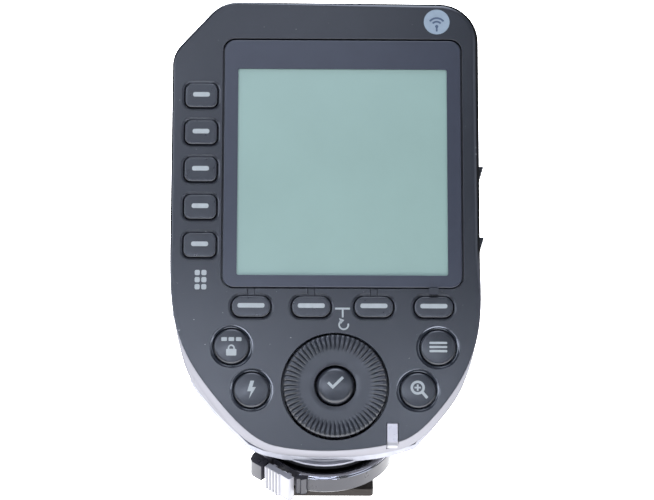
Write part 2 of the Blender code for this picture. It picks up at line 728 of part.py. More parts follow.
def select_dial():
    """Ridged ring; every other point of the rings between the bore and the skirt is a groove."""
    levels = [(DIAL_BORE, DIAL_BOTTOM, 0), (DIAL_BORE, 0.35, 0), (4.5, 0.72, 0), (6.2, 0.5, 0),
              (6.75, 0.62, 1), (8.3, 0.95, 1), (DIAL_RADIUS, 0.1, 1),
              (DIAL_RADIUS, DIAL_BOTTOM, 0)]
    count = 2 * DIAL_RIDGES
    bm = bmesh.new()
    rows = []
    for radius, height, ridged in levels:
        row = []
        for index in range(count):
            dip = DIAL_GROOVE * ridged * (index % 2)
            angle = 2 * math.pi * index / count
            reach = radius - (dip if radius == DIAL_RADIUS else 0.0)
            row.append(bm.verts.new(Vector((reach * math.cos(angle), reach * math.sin(angle),
                                            height - dip)) * MM))
        rows.append(row)
    for lower, upper in zip(rows, rows[1:] + rows[:1]):
        for index in range(count):
            after = (index + 1) % count
            bm.faces.new((lower[index], lower[after], upper[after], upper[index]))
    return mesh_object("select_dial", closed_mesh("select_dial", bm), (*DIAL_CENTRE, 0), PANEL,
                       KEY, False)


def keypad_mat():
    """Rubber sheet with the switch domes, in an L behind the two key groups."""
    outline = rounded(MAT_OUTLINE, [0.6] * len(MAT_OUTLINE), 1)
    mat = plate("keypad_mat", outline, MAT_BOTTOM, MAT_TOP, KEY)
    cut(mat, rod("mat_dial_hole", ENCODER_RADIUS + 0.8, -10, 0, position=(*DIAL_CENTRE, 0),
                 cutter=True, steps=24))
    return mat


def controls():
    for index, y in enumerate(GROUP_Y):
        flat_key(f"group_button_{index + 1}", (GROUP_X, y), GROUP_KEY)
    for index, x in enumerate(FUNCTION_X):
        flat_key(f"function_button_{index + 1}", (x, FUNCTION_Y), FUNCTION_KEY)
    for name, centre in ROUND_KEYS.items():
        round_key(name, centre)
    set_button()
    select_dial()
    keypad_mat()
    rod("encoder_body", ENCODER_RADIUS, *ENCODER_DEPTH, STEEL, position=(*DIAL_CENTRE, 0),
        steps=24)


def main_board():
    outline = rounded(BOARD_OUTLINE, [1.0] * len(BOARD_OUTLINE), 1)
    return plate("main_board", outline, *BOARD_DEPTH, BOARD)


# --- side controls and sockets ---------------------------------------------------------------

def switch(name, y):
    """Slide switch: a wedge knob with its inner slider, and the switch case behind it."""
    length, width = SWITCH_HALF
    inner = HALF_WIDTH - WALL - GAP
    reach = length + SWITCH_TRAVEL + 1.0
    knob = [(inner - 0.7, -reach), (inner, -reach), (inner, -length), (HALF_WIDTH + 0.1, -length),
            (HALF_WIDTH + 1.0, length - 0.35), (HALF_WIDTH + 0.85, length), (inner, length),
            (inner, reach - 2.0), (inner - 0.7, reach - 2.0)]
    plate(name + "_knob", knob, -width, width, KEY, position=(0, y, SWITCH_DEPTH))
    box(name + "_body", (23.7, y - 5.2, SWITCH_DEPTH - 1.5),
        (inner - 0.7 - GAP, y + 2.4, SWITCH_DEPTH + 1.5), STEEL)


def usb_port():
    """Charging socket: a rounded sleeve with its tongue."""
    y, z = USB_CENTRE
    port = plate("usb_port", rounded_box((0, 0), *USB_SLEEVE), -28.6, -21.8, STEEL,
                 position=(0, y, z), turn=SIDE_TURN)
    cut(port, plate("usb_mouth", rounded_box((0, 0), *USB_MOUTH), -31, -22.6,
                    position=(0, y, z), cutter=True, turn=SIDE_TURN))
    join(port, box("usb_tongue", (-27.8, y - 3.3, z - 0.35), (-22.3, y + 3.3, z + 0.35),
                   cutter=True))
    return port


def sync_jack():
    """Round socket for the sync lead."""
    y, z = JACK_CENTRE
    side = (0.0, -math.pi / 2, 0.0)
    profile = [(0.0, 22.6), (1.25, 22.6), (1.25, 28.5), (1.55, 28.8), (2.2, 28.8), (2.2, 21.5),
               (0.0, 21.5)]
    return turned("sync_jack", profile, STEEL, position=(0, y, z), steps=20, turn=side)


def assist_lamp():
    plate("assist_lamp_window", rounded_box(LAMP_CENTRE, *LAMP_WINDOW), -CASE_DEPTH,
          -CASE_DEPTH + LAMP_THICKNESS, LAMP)
    rod("assist_lamp_led", LED_RADIUS, *LED_DEPTH, LAMP, position=(*LAMP_CENTRE, 0), steps=16)


# --- power -----------------------------------------------------------------------------------

def battery_tray():
    """Open box that holds the two cells, closed toward the screen."""
    half, low, high = TRAY
    tray = box("battery_tray", (-half, low, -BACK_FLOOR + GAP), (half, high, TRAY_TOP), SHELL)
    half, low, high = TRAY_HOLLOW
    cut(tray, box("tray_hollow", (-half, low, -FAR), (half, high, TRAY_TOP - TRAY_FLOOR),
                  cutter=True))
    return tray


def battery_cell(name, y, direction):
    """A round cell along x with its cap end toward direction."""
    half = CELL_LENGTH / 2
    profile = [(0.0, half + 0.9), (2.6, half + 0.9), (2.6, half), (CELL_RADIUS - 0.5, half),
               (CELL_RADIUS, half - 0.5), (CELL_RADIUS, -half + 0.4), (CELL_RADIUS - 0.5, -half),
               (0.0, -half)]
    turned(name, profile, CELL, position=(0, y, CELL_Z), steps=20,
           turn=(0.0, direction * math.pi / 2, 0.0))


def battery_spring(name, y, side):
    """Conical spring pressed between a cell's flat end and its contact plate."""
    turn = (0.0, side * math.pi / 2, 0.0)
    coil(name, (1.5, 4.4), 25.12, 25.55, 2.5, 0.42, STEEL, (0, y, CELL_Z), PANEL, turn)


def power():
    battery_tray()
    upper, lower = CELL_Y
    battery_cell("battery_cell_1", upper, 1)
    battery_cell("battery_cell_2", lower, -1)
    battery_spring("battery_spring_1", upper, -1)
    battery_spring("battery_spring_2", lower, 1)
    for name, (near, far), bottom, top, material in (
            ("battery_link_plate", LINK_PLATE, lower, upper, STEEL),
            ("battery_plus_plate", CONTACT_PLATE, upper, upper, BRASS),
            ("battery_minus_plate", CONTACT_PLATE, lower, lower, STEEL)):
        box(name, (near, bottom - PLATE_REACH, CELL_Z - PLATE_REACH),
            (far, top + PLATE_REACH, CELL_Z + PLATE_REACH), material)


# --- shoe ------------------------------------------------------------------------------------

def lug_turn():
    """Rotation that carries x along the lug's tangent and y straight out of the axis."""
    return (0.0, 0.0, LUG_ANGLE - math.pi / 2)


def lug_plate(name, outline, low, high, material=None, cutter=False, position=(0, 0, 0)):
    return plate(name, outline, low, high, material, position=position, frame=None,
                 cutter=cutter, turn=lug_turn())


def lock_collar():
    """Ring that turns on the neck, with the lug that carries the release button."""
    r = COLLAR_RADIUS
    bottom, top = COLLAR_BOTTOM, COLLAR_TOP
    profile = [(11.4, top), (r - 0.3, top), (r, top - 0.25), (r, bottom + 0.2), (r - 0.2, bottom),
               (12.2, bottom), (12.2, 5.2), (10.8, 5.2), (10.8, 6.9), (11.4, 6.9)]
    collar = turned("lock_collar", profile, COLLAR, frame=None, steps=48, ring=True)
    near, far = -BUTTON_SPAN[1] - GAP, -BUTTON_SPAN[0] + GAP
    wide = [(far, 12.6), (6.0, 12.6), (5.9, 13.5), (5.2, 14.8), (4.2, 15.3), (far, 15.3)]
    slim = [(near, 12.5), (near, 13.2), (-6.2, 12.9), (-6.8, 12.3), (-6.4, 11.4)]
    join(collar, lug_plate("lug_wide", wide, bottom, top, cutter=True),
         lug_plate("lug_slim", slim, bottom, top, cutter=True))
    notch = [(near, 11.9), (far, 11.9), (far, 20.0), (near, 20.0)]
    cut(collar, lug_plate("lug_notch", notch, bottom - 2, top + 2, cutter=True))
    return collar


def release_button():
    """Ridged push piece in the lug."""
    low, high = -BUTTON_SPAN[1], -BUTTON_SPAN[0]
    face = BUTTON_FACE
    ridges = 5
    pitch = 0.75
    front = []
    for index in range(ridges):
        x = high - index * pitch
        front += [(x, face), (x - pitch * 0.55, face), (x - pitch * 0.55, face - 0.2),
                  (x - pitch, face - 0.2)]
    back = [(low, face - 0.2), (low, 13.3), (low + 0.9, 13.3), (low + 0.9, 12.9), (low + 1.7, 12.9),
            (low + 1.7, 13.3), (high - 1.7, 13.3), (high - 1.7, 12.9), (high - 0.9, 12.9),
            (high - 0.9, 13.3), (high, 13.3)]
    return lug_plate("release_button", front + back, 3.3, COLLAR_TOP - 0.1, PALE)


def release_spring():
    middle = -(BUTTON_SPAN[0] + BUTTON_SPAN[1]) / 2
    outward = Vector((math.cos(LUG_ANGLE), math.sin(LUG_ANGLE), 0.0))
    across = Vector((outward.y, -outward.x, 0.0))
    start = across * middle + outward * 12.05 + Vector((0.0, 0.0, SPRING_SEAT))
    coil("release_spring", (0.7, 0.7), 0.13, 0.97, 3, 0.2, STEEL, tuple(start), None,
         (0.0, math.pi / 2, LUG_ANGLE))


def shoe_foot():
    """Standard accessory foot: plate, stem and the boss that carries the collar's retainer."""
    half = FOOT_HALF
    outline = rounded([(half, -half), (half, half), (-half, half), (-half, -half)],
                      [0.5, 1.2, 1.2, 0.5], 2)
    rings = [[(x, y, z) for x, y in inset(outline, drawn)] for z, drawn in
             ((0.0, 0.35), (0.35, 0.0), (FOOT_THICKNESS - 0.1, 0.0), (FOOT_THICKNESS, 0.1))]
    foot = loft("shoe_foot", rings, FOOT, frame=None)
    a, b = STEM_HALF
    join(foot, box("foot_stem", (-a, -b, 1.0), (a, b, 4.0), frame=None, cutter=True),
         rod("foot_boss", 8.7, 3.95, 4.9, frame=None, cutter=True, steps=24))
    for index, centre in enumerate(FOOT_SCREWS):
        cut(foot, rod(f"foot_screw_hole_{index + 1}", SCREW_HOLE, -1, 9, position=(*centre, 0),
                      frame=None, cutter=True, steps=10),
            rod(f"foot_screw_seat_{index + 1}", 1.75, -1, 1.2, position=(*centre, 0),
                frame=None, cutter=True, steps=12))
    for index, (x, y, radius) in enumerate(CONTACTS):
        cut(foot, rod(f"contact_hole_{index + 1}", radius + CONTACT_GAP, -1, 9, position=(x, y, 0),
                      frame=None, cutter=True, steps=10))
    cut(foot, rod("foot_pin_hole", PIN_HOLE, -1, 9, position=(*LOCK_PIN, 0), frame=None,
                  cutter=True, steps=14))
    return foot


def foot_screw(name, centre):
    profile = [(0.0, 8.8), (0.8, 8.3), (0.8, 0.95), (1.5, 0.95), (1.5, 0.15), (0.0, 0.15)]
    return turned(name, profile, STEEL, position=(*centre, 0), frame=None, steps=12)


def case_screw(name, centre):
    profile = [(0.0, -5.0), (0.75, -5.6), (0.75, -17.2), (1.7, -17.2), (1.7, -18.2), (0.0, -18.2)]
    return turned(name, profile, STEEL, position=(*centre, 0), steps=12)


def contact_pin(name, x, y, radius):
    profile = [(0.0, 4.4), (radius, 4.4), (radius, 0.1), (radius * 0.7, -0.2), (0.0, -0.3)]
    return turned(name, profile, BRASS, position=(x, y, 0), frame=None, steps=10)


def lock_pin():
    profile = [(0.0, 13.6), (1.9, 13.6), (1.9, 13.0), (0.85, 13.0), (0.85, 0.7), (0.5, 0.35),
               (0.0, 0.35)]
    turned("lock_pin", profile, STEEL, position=(*LOCK_PIN, 0), frame=None, steps=14)
    coil("lock_pin_spring", (1.45, 1.45), BASE_TOP + 0.35, 12.75, 3.5, 0.3, STEEL,
         (*LOCK_PIN, 0), None)


def collar_retainer():
    profile = [(9.0, 4.9), (11.9, 4.9), (11.9, 4.3), (9.0, 4.3)]
    return turned("collar_retainer", profile, STEEL, frame=None, steps=32, ring=True)


def shoe():
    lock_collar()
    release_button()
    release_spring()
    collar_retainer()
    shoe_foot()
    lock_pin()
    for index, centre in enumerate(FOOT_SCREWS):
        foot_screw(f"foot_screw_{index + 1}", centre)
    for index, (x, y, radius) in enumerate(CONTACTS):
        contact_pin(f"contact_pin_{index + 1}", x, y, radius)


# --- the whole trigger -----------------------------------------------------------------------

def build():
    outline = slab_outline()
    underside = underside_cutter()
    front_panel(outline, underside)
    rear_cover(outline, underside)
    battery_door()
    shoe_base(outline)
    screen_stack()
    light_pipe()
    controls()
    main_board()
    for name, y in SWITCHES.items():
        switch(name, y)
    usb_port()
    sync_jack()
    assist_lamp()
    power()
    for index, centre in enumerate(CASE_SCREWS):
        case_screw(f"case_screw_{index + 1}", centre)
    shoe()


build()
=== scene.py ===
import json
import math

import bmesh
import bpy
from mathutils import Matrix, Vector
from mathutils.geometry import tessellate_polygon

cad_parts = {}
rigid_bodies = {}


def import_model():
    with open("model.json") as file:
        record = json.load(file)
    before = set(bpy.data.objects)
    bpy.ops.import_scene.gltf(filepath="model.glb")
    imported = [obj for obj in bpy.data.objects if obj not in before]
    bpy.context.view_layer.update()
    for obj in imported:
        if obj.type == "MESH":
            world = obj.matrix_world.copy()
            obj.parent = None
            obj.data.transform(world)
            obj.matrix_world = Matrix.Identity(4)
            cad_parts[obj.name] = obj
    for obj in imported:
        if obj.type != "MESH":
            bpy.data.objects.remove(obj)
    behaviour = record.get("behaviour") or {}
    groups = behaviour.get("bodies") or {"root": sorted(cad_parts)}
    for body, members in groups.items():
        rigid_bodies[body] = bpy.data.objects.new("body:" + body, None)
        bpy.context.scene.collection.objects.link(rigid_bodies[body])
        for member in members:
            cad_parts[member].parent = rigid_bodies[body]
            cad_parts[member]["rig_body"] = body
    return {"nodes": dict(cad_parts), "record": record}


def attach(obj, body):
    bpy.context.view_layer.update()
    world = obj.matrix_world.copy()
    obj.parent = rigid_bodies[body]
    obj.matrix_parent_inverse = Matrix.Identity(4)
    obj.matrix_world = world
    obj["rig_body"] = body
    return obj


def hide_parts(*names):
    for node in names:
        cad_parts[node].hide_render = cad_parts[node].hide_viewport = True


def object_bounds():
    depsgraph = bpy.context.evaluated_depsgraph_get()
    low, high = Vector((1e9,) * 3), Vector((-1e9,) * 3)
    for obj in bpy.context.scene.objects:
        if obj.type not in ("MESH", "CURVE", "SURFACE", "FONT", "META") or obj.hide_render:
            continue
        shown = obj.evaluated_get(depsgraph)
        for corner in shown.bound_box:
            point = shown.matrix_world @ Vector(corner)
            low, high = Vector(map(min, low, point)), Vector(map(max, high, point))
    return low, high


# Looks of the wireless flash trigger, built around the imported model. Sizes are in millimetres and
# become metres when a mesh is made. The panel frame is the one that the slab is designed in: x runs
# across the panel, y up the panel and z out of its face. The foot frame is the world, with its
# origin at the centre of the foot plate's bottom face.

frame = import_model()
CAD_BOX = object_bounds()
NODES = frame["nodes"]
SLOT_OF = {part["node"]: part["material_slot"] for part in frame["record"]["subparts"]}

MM = 0.001
LEAN = math.radians(45.0)
PANEL = Matrix.Translation(Vector((0.0, 22.4, 52.6)) * MM) @ Matrix.Rotation(LEAN, 4, "X")
FOOT = Matrix.Identity(4)
LUG_ANGLE = math.radians(-132.8)
LUG = Matrix.Rotation(LUG_ANGLE - math.pi / 2, 4, "Z")

# Slab
HALF_WIDTH = 29.0
TOP = 33.2
TOP_RIGHT_RADIUS = 7.5
CHAMFER_TOP = (-19.7, TOP)
CHAMFER_SIDE = (-HALF_WIDTH, 22.9)
LEFT_FOOT = (-14.0, -50.25)
RIGHT_FOOT = (16.8, -50.1)
LEFT_FLANK = [(-HALF_WIDTH, -14.0), (-HALF_WIDTH, -31.4), (-27.7, -35.4), LEFT_FOOT]
CHIN = [LEFT_FOOT, (-8.5, -54.2), (9.5, -53.8), RIGHT_FOOT]
RIGHT_FLANK = [RIGHT_FOOT, (30.9, -36.5), (HALF_WIDTH, -27.1), (HALF_WIDTH, -16.0)]
SEAM = 11.0
CASE_DEPTH = 27.0
WALL = 1.2
PLATE = 2.0
FLARE = 0.3
FLARE_START = -24.0
FLARE_END = -36.0
UNDERSIDE = 10.3
SLOPE = 10.0 / 15.0
SLOPE_START = 19.0
FOLDS = [20.4, 19.7, 19.0, 18.3, 17.6]
LEFT_FOOT_EASE = (4.5, 12)   # how far the corner at the left foot is evened out, and how often
RIGHT_FOOT_EASE = (2.5, 4)
EDGE_CRISP = 0.32            # rounding of the face's edge round the chin
EDGE_LEFT = 0.6              # along the upper left side
EDGE_RIGHT = 1.35            # and along the upper right side
EDGE_CHANGE = (-27.0, -12.0)
REAR_EDGE = 1.5              # rounding of the edge at the back
SHARP_ANGLE = 38             # degrees between faces that still shade as one curve
FAR = 60.0                   # clear of the whole object
BEYOND = 40.0                # clear of the slab's back and top

# Openings
KEY_RIM = 0.66               # how far a key's recess reaches round the key
KEY_THROAT = 0.18            # gap beside a key at the bottom of its recess
RIM_STEP = 0.06              # sharp drop at the recess's outer edge
RIM_FALL = 0.16              # how deep its gentle slope reaches at the throat
LIP = 0.04
ROUND_LIP = 0.10
ROUND_RIM = 4.12
ROUND_THROAT = 3.42
ROUND_HOLLOW = 0.30          # depth of the hollow ring round a round key
DIAL_HOLE = 10.0
DIAL_LIP = 0.12
NECK_WIDTH = 1.35
NECK_FLOOR = -0.3
WINDOW_RADIUS = 2.0
WINDOW_GAP = 0.34
WINDOW_LEDGE = -1.3
SWITCH_TRAVEL = 3.0
SWITCH_SPAN = 1.75           # how far a switch's slot reaches beyond the knob's two places
DOOR_GAP = 0.22


# --- outlines --------------------------------------------------------------------------------

def fillet(before, corner, after, radius, steps):
    """Points of the arc that rounds one corner."""
    corner = Vector(corner)
    back = (Vector(before) - corner).normalized()
    ahead = (Vector(after) - corner).normalized()
    half = back.angle(ahead) / 2
    centre = corner + (back + ahead).normalized() * radius / math.sin(half)
    start = corner + back * radius / math.tan(half) - centre
    end = corner + ahead * radius / math.tan(half) - centre
    sweep = math.atan2(start.cross(end), start.dot(end))
    return [
        tuple(centre + Matrix.Rotation(sweep * step / steps, 2) @ start)
        for step in range(steps + 1)
    ]


def rounded(corners, radii, steps=6):
    points = []
    for index, corner in enumerate(corners):
        after = corners[(index + 1) % len(corners)]
        points += fillet(corners[index - 1], corner, after, radii[index], steps)
    return points


def rounded_box(centre, width, height, radius, steps=6):
    x, y = centre
    a, b = width / 2, height / 2
    corners = [(x + a, y - b), (x + a, y + b), (x - a, y + b), (x - a, y - b)]
    return rounded(corners, [radius] * 4, steps)


def quarter(steps, first=0):
    """Angles of a quarter turn, from its first step to 90 degrees."""
    return [math.pi / 2 * step / steps for step in range(first, steps + 1)]


def arc(centre, radius, start, end, steps):
    turns = [start + (end - start) * step / steps for step in range(steps + 1)]
    return [(centre[0] + radius * math.cos(t), centre[1] + radius * math.sin(t)) for t in turns]


def circle(centre, radius, steps):
    return arc(centre, radius, 0, 2 * math.pi, steps)[:-1]


def bezier(handles, steps):
    """Points of a cubic curve, without its last one."""
    points = []
    for step in range(steps):
        t = step / steps
        weights = ((1 - t) ** 3, 3 * t * (1 - t) ** 2, 3 * t * t * (1 - t), t ** 3)
        x = sum(weight * handle[0] for weight, handle in zip(weights, handles))
        y = sum(weight * handle[1] for weight, handle in zip(weights, handles))
        points.append((x, y))
    return points


def slab_outline():
    """The slab's outline, counterclockwise from the fold line on its right side."""
    points = [(HALF_WIDTH, FOLDS[0])]
    points += fillet((HALF_WIDTH, 0.0), (HALF_WIDTH, TOP), (0.0, TOP), TOP_RIGHT_RADIUS, 16)
    points += fillet((0.0, TOP), CHAMFER_TOP, CHAMFER_SIDE, 7.0, 9)
    points += fillet(CHAMFER_TOP, CHAMFER_SIDE, (-HALF_WIDTH, 0.0), 6.0, 9)
    points += [(-HALF_WIDTH, fold) for fold in FOLDS]
    points += bezier(LEFT_FLANK, 30) + bezier(CHIN, 30) + bezier(RIGHT_FLANK, 30)
    points.append(RIGHT_FLANK[-1])
    points += [(HALF_WIDTH, fold) for fold in reversed(FOLDS[1:])]
    points = relaxed(points, Vector(LEFT_FOOT), *LEFT_FOOT_EASE)
    return relaxed(points, Vector(RIGHT_FOOT), *RIGHT_FOOT_EASE)


def relaxed(points, corner, reach, rounds):
    """Round one corner by evening out the points near it."""
    count = len(points)
    pulls = [max(0.0, 1 - (Vector(point) - corner).length / reach) for point in points]
    for _ in range(rounds):
        settled = list(points)
        for index, pull in enumerate(pulls):
            if pull:
                between = (Vector(points[index - 1]) + Vector(points[(index + 1) % count])) / 2
                share = 0.6 * min(1.0, 2 * pull)
                settled[index] = tuple(Vector(points[index]).lerp(between, share))
        points = settled
    return points


def inset(points, distances):
    """Move each point of a counterclockwise outline inward, by one distance or one each."""
    count = len(points)
    if not isinstance(distances, list):
        distances = [distances] * count
    moved = []
    for index in range(count):
        here = Vector(points[index])
        back = (here - Vector(points[index - 1])).normalized()
        ahead = (Vector(points[(index + 1) % count]) - here).normalized()
        normal = Vector((-back.y - ahead.y, back.x + ahead.x)).normalized()
        miter = max(0.5, normal.dot(Vector((-back.y, back.x))))
        moved.append(tuple(here + normal * distances[index] / miter))
    return moved


def flare(points, depth):
    leans = []
    for _, y in points:
        share = min(1.0, max(0.0, (FLARE_START - y) / (FLARE_START - FLARE_END)))
        leans.append(-FLARE * share * min(1.0, depth / SEAM))
    return leans


def back_depth(y):
    """How deep the case is behind the panel: flat, then a bend, then the slope to the top."""
    bend = FOLDS[0] - FOLDS[-1]
    if y <= FOLDS[-1]:
        return CASE_DEPTH
    if y < FOLDS[0]:
        return CASE_DEPTH - SLOPE * (y - FOLDS[-1]) ** 2 / (2 * bend)
    return CASE_DEPTH - SLOPE * (y - SLOPE_START)


# --- bodies ----------------------------------------------------------------------------------

def join_flat_faces(bm):
    """Join neighbouring triangles of one flat face, so that it shades as one."""
    bmesh.ops.dissolve_limit(bm, angle_limit=math.radians(0.03), verts=[], edges=bm.edges,
                             delimit={"MATERIAL"})


def finish_body(name, bm, matrix, angle=SHARP_ANGLE):
    bmesh.ops.recalc_face_normals(bm, faces=bm.faces)
    mesh = bpy.data.meshes.new(name)
    bm.to_mesh(mesh)
    bm.free()
    item = bpy.data.objects.new(name, mesh)
    bpy.context.scene.collection.objects.link(item)
    item.matrix_world = matrix
    item["shade_angle"] = angle
    return item


def smooth_off(item):
    """Smooth shading whose flat faces stay flat beside their rounded edges."""
    bm = bmesh.new()
    bm.from_mesh(item.data)
    join_flat_faces(bm)
    bm.to_mesh(item.data)
    bm.free()
    item.data.shade_smooth()
    item.data.set_sharp_from_angle(angle=math.radians(item["shade_angle"]))
    step = item.modifiers.new("even_shading", "WEIGHTED_NORMAL")
    step.keep_sharp = True
    step.weight = 80


def walls_between(bm, rows, index):
    count = len(rows[0])
    for upper, lower in zip(rows, rows[1:]):
        for here in range(count):
            after = (here + 1) % count
            face = bm.faces.new((upper[here], lower[here], lower[after], upper[after]))
            face.material_index = index


def fill(bm, loops):
    """Flat triangles inside the first loop and outside the others."""
    flat = [vert for loop in loops for vert in loop]
    for corners in tessellate_polygon([[vert.co.copy() for vert in loop] for loop in loops]):
        if len(set(corners)) == 3:
            bm.faces.new([flat[corner] for corner in corners])


def solid(name, shell, holes=(), matrix=PANEL, bands=()):
    """A closed body: rings down its outside, pierced by holes, each (rings, material index).

    bands gives (first ring, last ring, material index) for stretches of the outside.
    """
    bm = bmesh.new()
    sides = []
    for rings, index in [(shell, 0), *holes]:
        rows = [[bm.verts.new(Vector(point) * MM) for point in ring] for ring in rings]
        walls_between(bm, rows, index)
        sides.append(rows)
    for first, last, index in bands:
        band = {vert for row in sides[0][first:last + 1] for vert in row}
        for face in bm.faces:
            if band.issuperset(face.verts):
                face.material_index = index
    for end in (0, -1):
        fill(bm, [rows[end] for rows in sides])
    return finish_body(name, bm, matrix)


def rings_of(outline_at, levels):
    """Rings of an outline that grows by each level's first number, at its second number's height."""
    return [[(x, y, height) for x, y in outline_at(grow)] for grow, height in levels]


def lip_levels(size, grow=0.0):
    """The rounded upper edge of an opening, from the face down into it."""
    return [(grow + size * (1 - math.sin(t)), -size * (1 - math.cos(t))) for t in quarter(3)]


def edge_levels(size, top, steps=4):
    """The rounded upper edge of a body, from its top cap out to its side."""
    return [(-size * (1 - math.sin(t)), top - size * (1 - math.cos(t))) for t in quarter(steps)]


def block(name, outline_at, low, high, edge, matrix=PANEL, foot_edge=0.0, steps=4, holes=()):
    """A flat outline with thickness and rounded edges."""
    levels = edge_levels(edge, high, steps)
    if foot_edge:
        levels += [(grow, low + high - height) for grow, height in
                   reversed(edge_levels(foot_edge, high, steps))]
    else:
        levels.append((0.0, low))
    return solid(name, rings_of(outline_at, levels), holes, matrix)


def grown_box(centre, width, height, radius, steps=6):
    """An outline function: a rounded box that grows."""
    return lambda grow: rounded_box(centre, width + 2 * grow, height + 2 * grow,
                                    max(0.02, radius + grow), steps)


def grown_circle(centre, radius, steps):
    return lambda grow: circle(centre, radius + grow, steps)


def grown(points):
    return lambda grow: inset(points, -grow)


def lathe(name, profile, steps, matrix=PANEL, closed=False, bands=(), ridge=None,
          angle=SHARP_ANGLE):
    """A turned body; bands names profile stretches that have another material than the first."""
    bm = bmesh.new()
    rows = []
    for radius, height in profile:
        if radius == 0.0:
            rows.append([bm.verts.new((0.0, 0.0, height * MM))])
            continue
        row = []
        for index in range(steps):
            turn = 2 * math.pi * index / steps
            reach, rise = ridge(turn, radius, height) if ridge else (radius, height)
            row.append(bm.verts.new(Vector((reach * math.cos(turn), reach * math.sin(turn),
                                            rise)) * MM))
        rows.append(row)
    pairs = list(zip(rows, rows[1:]))
    if closed:
        pairs.append((rows[-1], rows[0]))
    for band, (upper, lower) in enumerate(pairs):
        for index in range(steps):
            after = (index + 1) % steps
            corners = [upper[index % len(upper)], lower[index % len(lower)],
                       lower[after % len(lower)], upper[after % len(upper)]]
            face = bm.faces.new(list(dict.fromkeys(corners)))
            face.material_index = 1 if band in bands else 0
    return finish_body(name, bm, matrix, angle)


def carve(item, *tools, operation="DIFFERENCE"):
    """Cut tools out of a body, or join them to it, and drop the tools."""
    for tool in tools:
        step = item.modifiers.new(tool.name, "BOOLEAN")
        step.operation = operation
        step.solver = "EXACT"
        step.object = tool
    depsgraph = bpy.context.evaluated_depsgraph_get()
    mesh = bpy.data.meshes.new_from_object(item.evaluated_get(depsgraph))
    item.modifiers.clear()
    item.data = mesh
    for tool in tools:
        bpy.data.objects.remove(tool, do_unlink=True)
    return item


def cutter(name, low, high, matrix=PANEL):
    corners = [(high[0], low[1]), (high[0], high[1]), (low[0], high[1]), (low[0], low[1])]
    rings = [[(x, y, height) for x, y in corners] for height in (high[2], low[2])]
    return solid(name, rings, matrix=matrix)


def side_frame(x, y, z):
    """A frame whose x runs up the panel, y out of its face and z to the right."""
    turn = Matrix(((0, 0, 1, 0), (1, 0, 0, 0), (0, 1, 0, 0), (0, 0, 0, 1)))
    return PANEL @ Matrix.Translation(Vector((x, y, z)) * MM) @ turn


def span(node, matrix=PANEL):
    """A CAD node's lowest and highest corners in a frame, in millimetres."""
    back = matrix.inverted()
    points = [back @ vert.co / MM for vert in NODES[node].data.vertices]
    low = Vector([min(point[axis] for point in points) for axis in range(3)])
    high = Vector([max(point[axis] for point in points) for axis in range(3)])
    return low, high


def middle(node, matrix=PANEL):
    low, high = span(node, matrix)
    return (low + high) / 2


def footprint(node):
    """Centre, width and height of a CAD node as it lies on the panel."""
    low, high = span(node)
    centre = ((low.x + high.x) / 2, (low.y + high.y) / 2)
    return centre, high.x - low.x, high.y - low.y


def panel_place(node):
    """The panel's frame, moved to a CAD node's middle across and up the panel."""
    x, y, _ = middle(node)
    return PANEL @ Matrix.Translation(Vector((x, y, 0)) * MM)


def paint(item, *materials):
    """Fill a mesh's material slots in order, and keep which face wears which."""
    slots = item.data.materials
    for index, material in enumerate(materials):
        if index < len(slots):
            slots[index] = material
        else:
            slots.append(material)


def wear(item, body, slot, *materials):
    smooth_off(item)
    paint(item, *materials)
    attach(item, body)


def stand_for(item, node, *materials):
    wear(item, NODES[node]["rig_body"], SLOT_OF[node], *materials)
    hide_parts(node)


# --- materials -------------------------------------------------------------------------------

GRAIN_DEPTH = 0.00002        # metres that a full bump stands up
COAT_ROUGHNESS = 0.1


def link(tree, source, target):
    tree.links.new(source, target)


def noise(tree, coordinates, scale, detail=3.0, roughness=0.55):
    node = tree.nodes.new("ShaderNodeTexNoise")
    node.inputs["Scale"].default_value = scale
    node.inputs["Detail"].default_value = detail
    node.inputs["Roughness"].default_value = roughness
    link(tree, coordinates, node.inputs["Vector"])
    return node.outputs["Fac"]


def ramp(tree, factor, stops):
    node = tree.nodes.new("ShaderNodeValToRGB")
    elements = node.color_ramp.elements
    while len(elements) < len(stops):
        elements.new(0.5)
    for element, (place, value) in zip(elements, stops):
        element.position = place
        element.color = (*value, 1.0) if isinstance(value, tuple) else (value,) * 3 + (1.0,)
    link(tree, factor, node.inputs["Fac"])
    return node.outputs["Color"]


def bump(tree, height, strength):
    node = tree.nodes.new("ShaderNodeBump")
    node.inputs["Strength"].default_value = strength
    node.inputs["Distance"].default_value = GRAIN_DEPTH
    link(tree, height, node.inputs["Height"])
    return node.outputs["Normal"]


def new_material(name):
    material = bpy.data.materials.new(name)
    material.use_nodes = True
    tree = material.node_tree
    shader = tree.nodes["Principled BSDF"]
    coordinates = tree.nodes.new("ShaderNodeTexCoord").outputs["Object"]
    return material, tree, shader, coordinates


def tinted(colour, factor):
    return tuple(min(1.0, channel * factor) for channel in colour)


def mixed(tree, first, second, factor=None, blend="MIX"):
    """Mix a colour output with another output, or with a plain colour."""
    mix = tree.nodes.new("ShaderNodeMix")
    mix.data_type = "RGBA"
    mix.blend_type = blend
    mix.inputs["Factor"].default_value = 1.0
    if factor:
        link(tree, factor, mix.inputs["Factor"])
    link(tree, first, mix.inputs["A"])
    if isinstance(second, tuple):
        mix.inputs["B"].default_value = second
    else:
        link(tree, second, mix.inputs["B"])
    return mix.outputs["Result"]


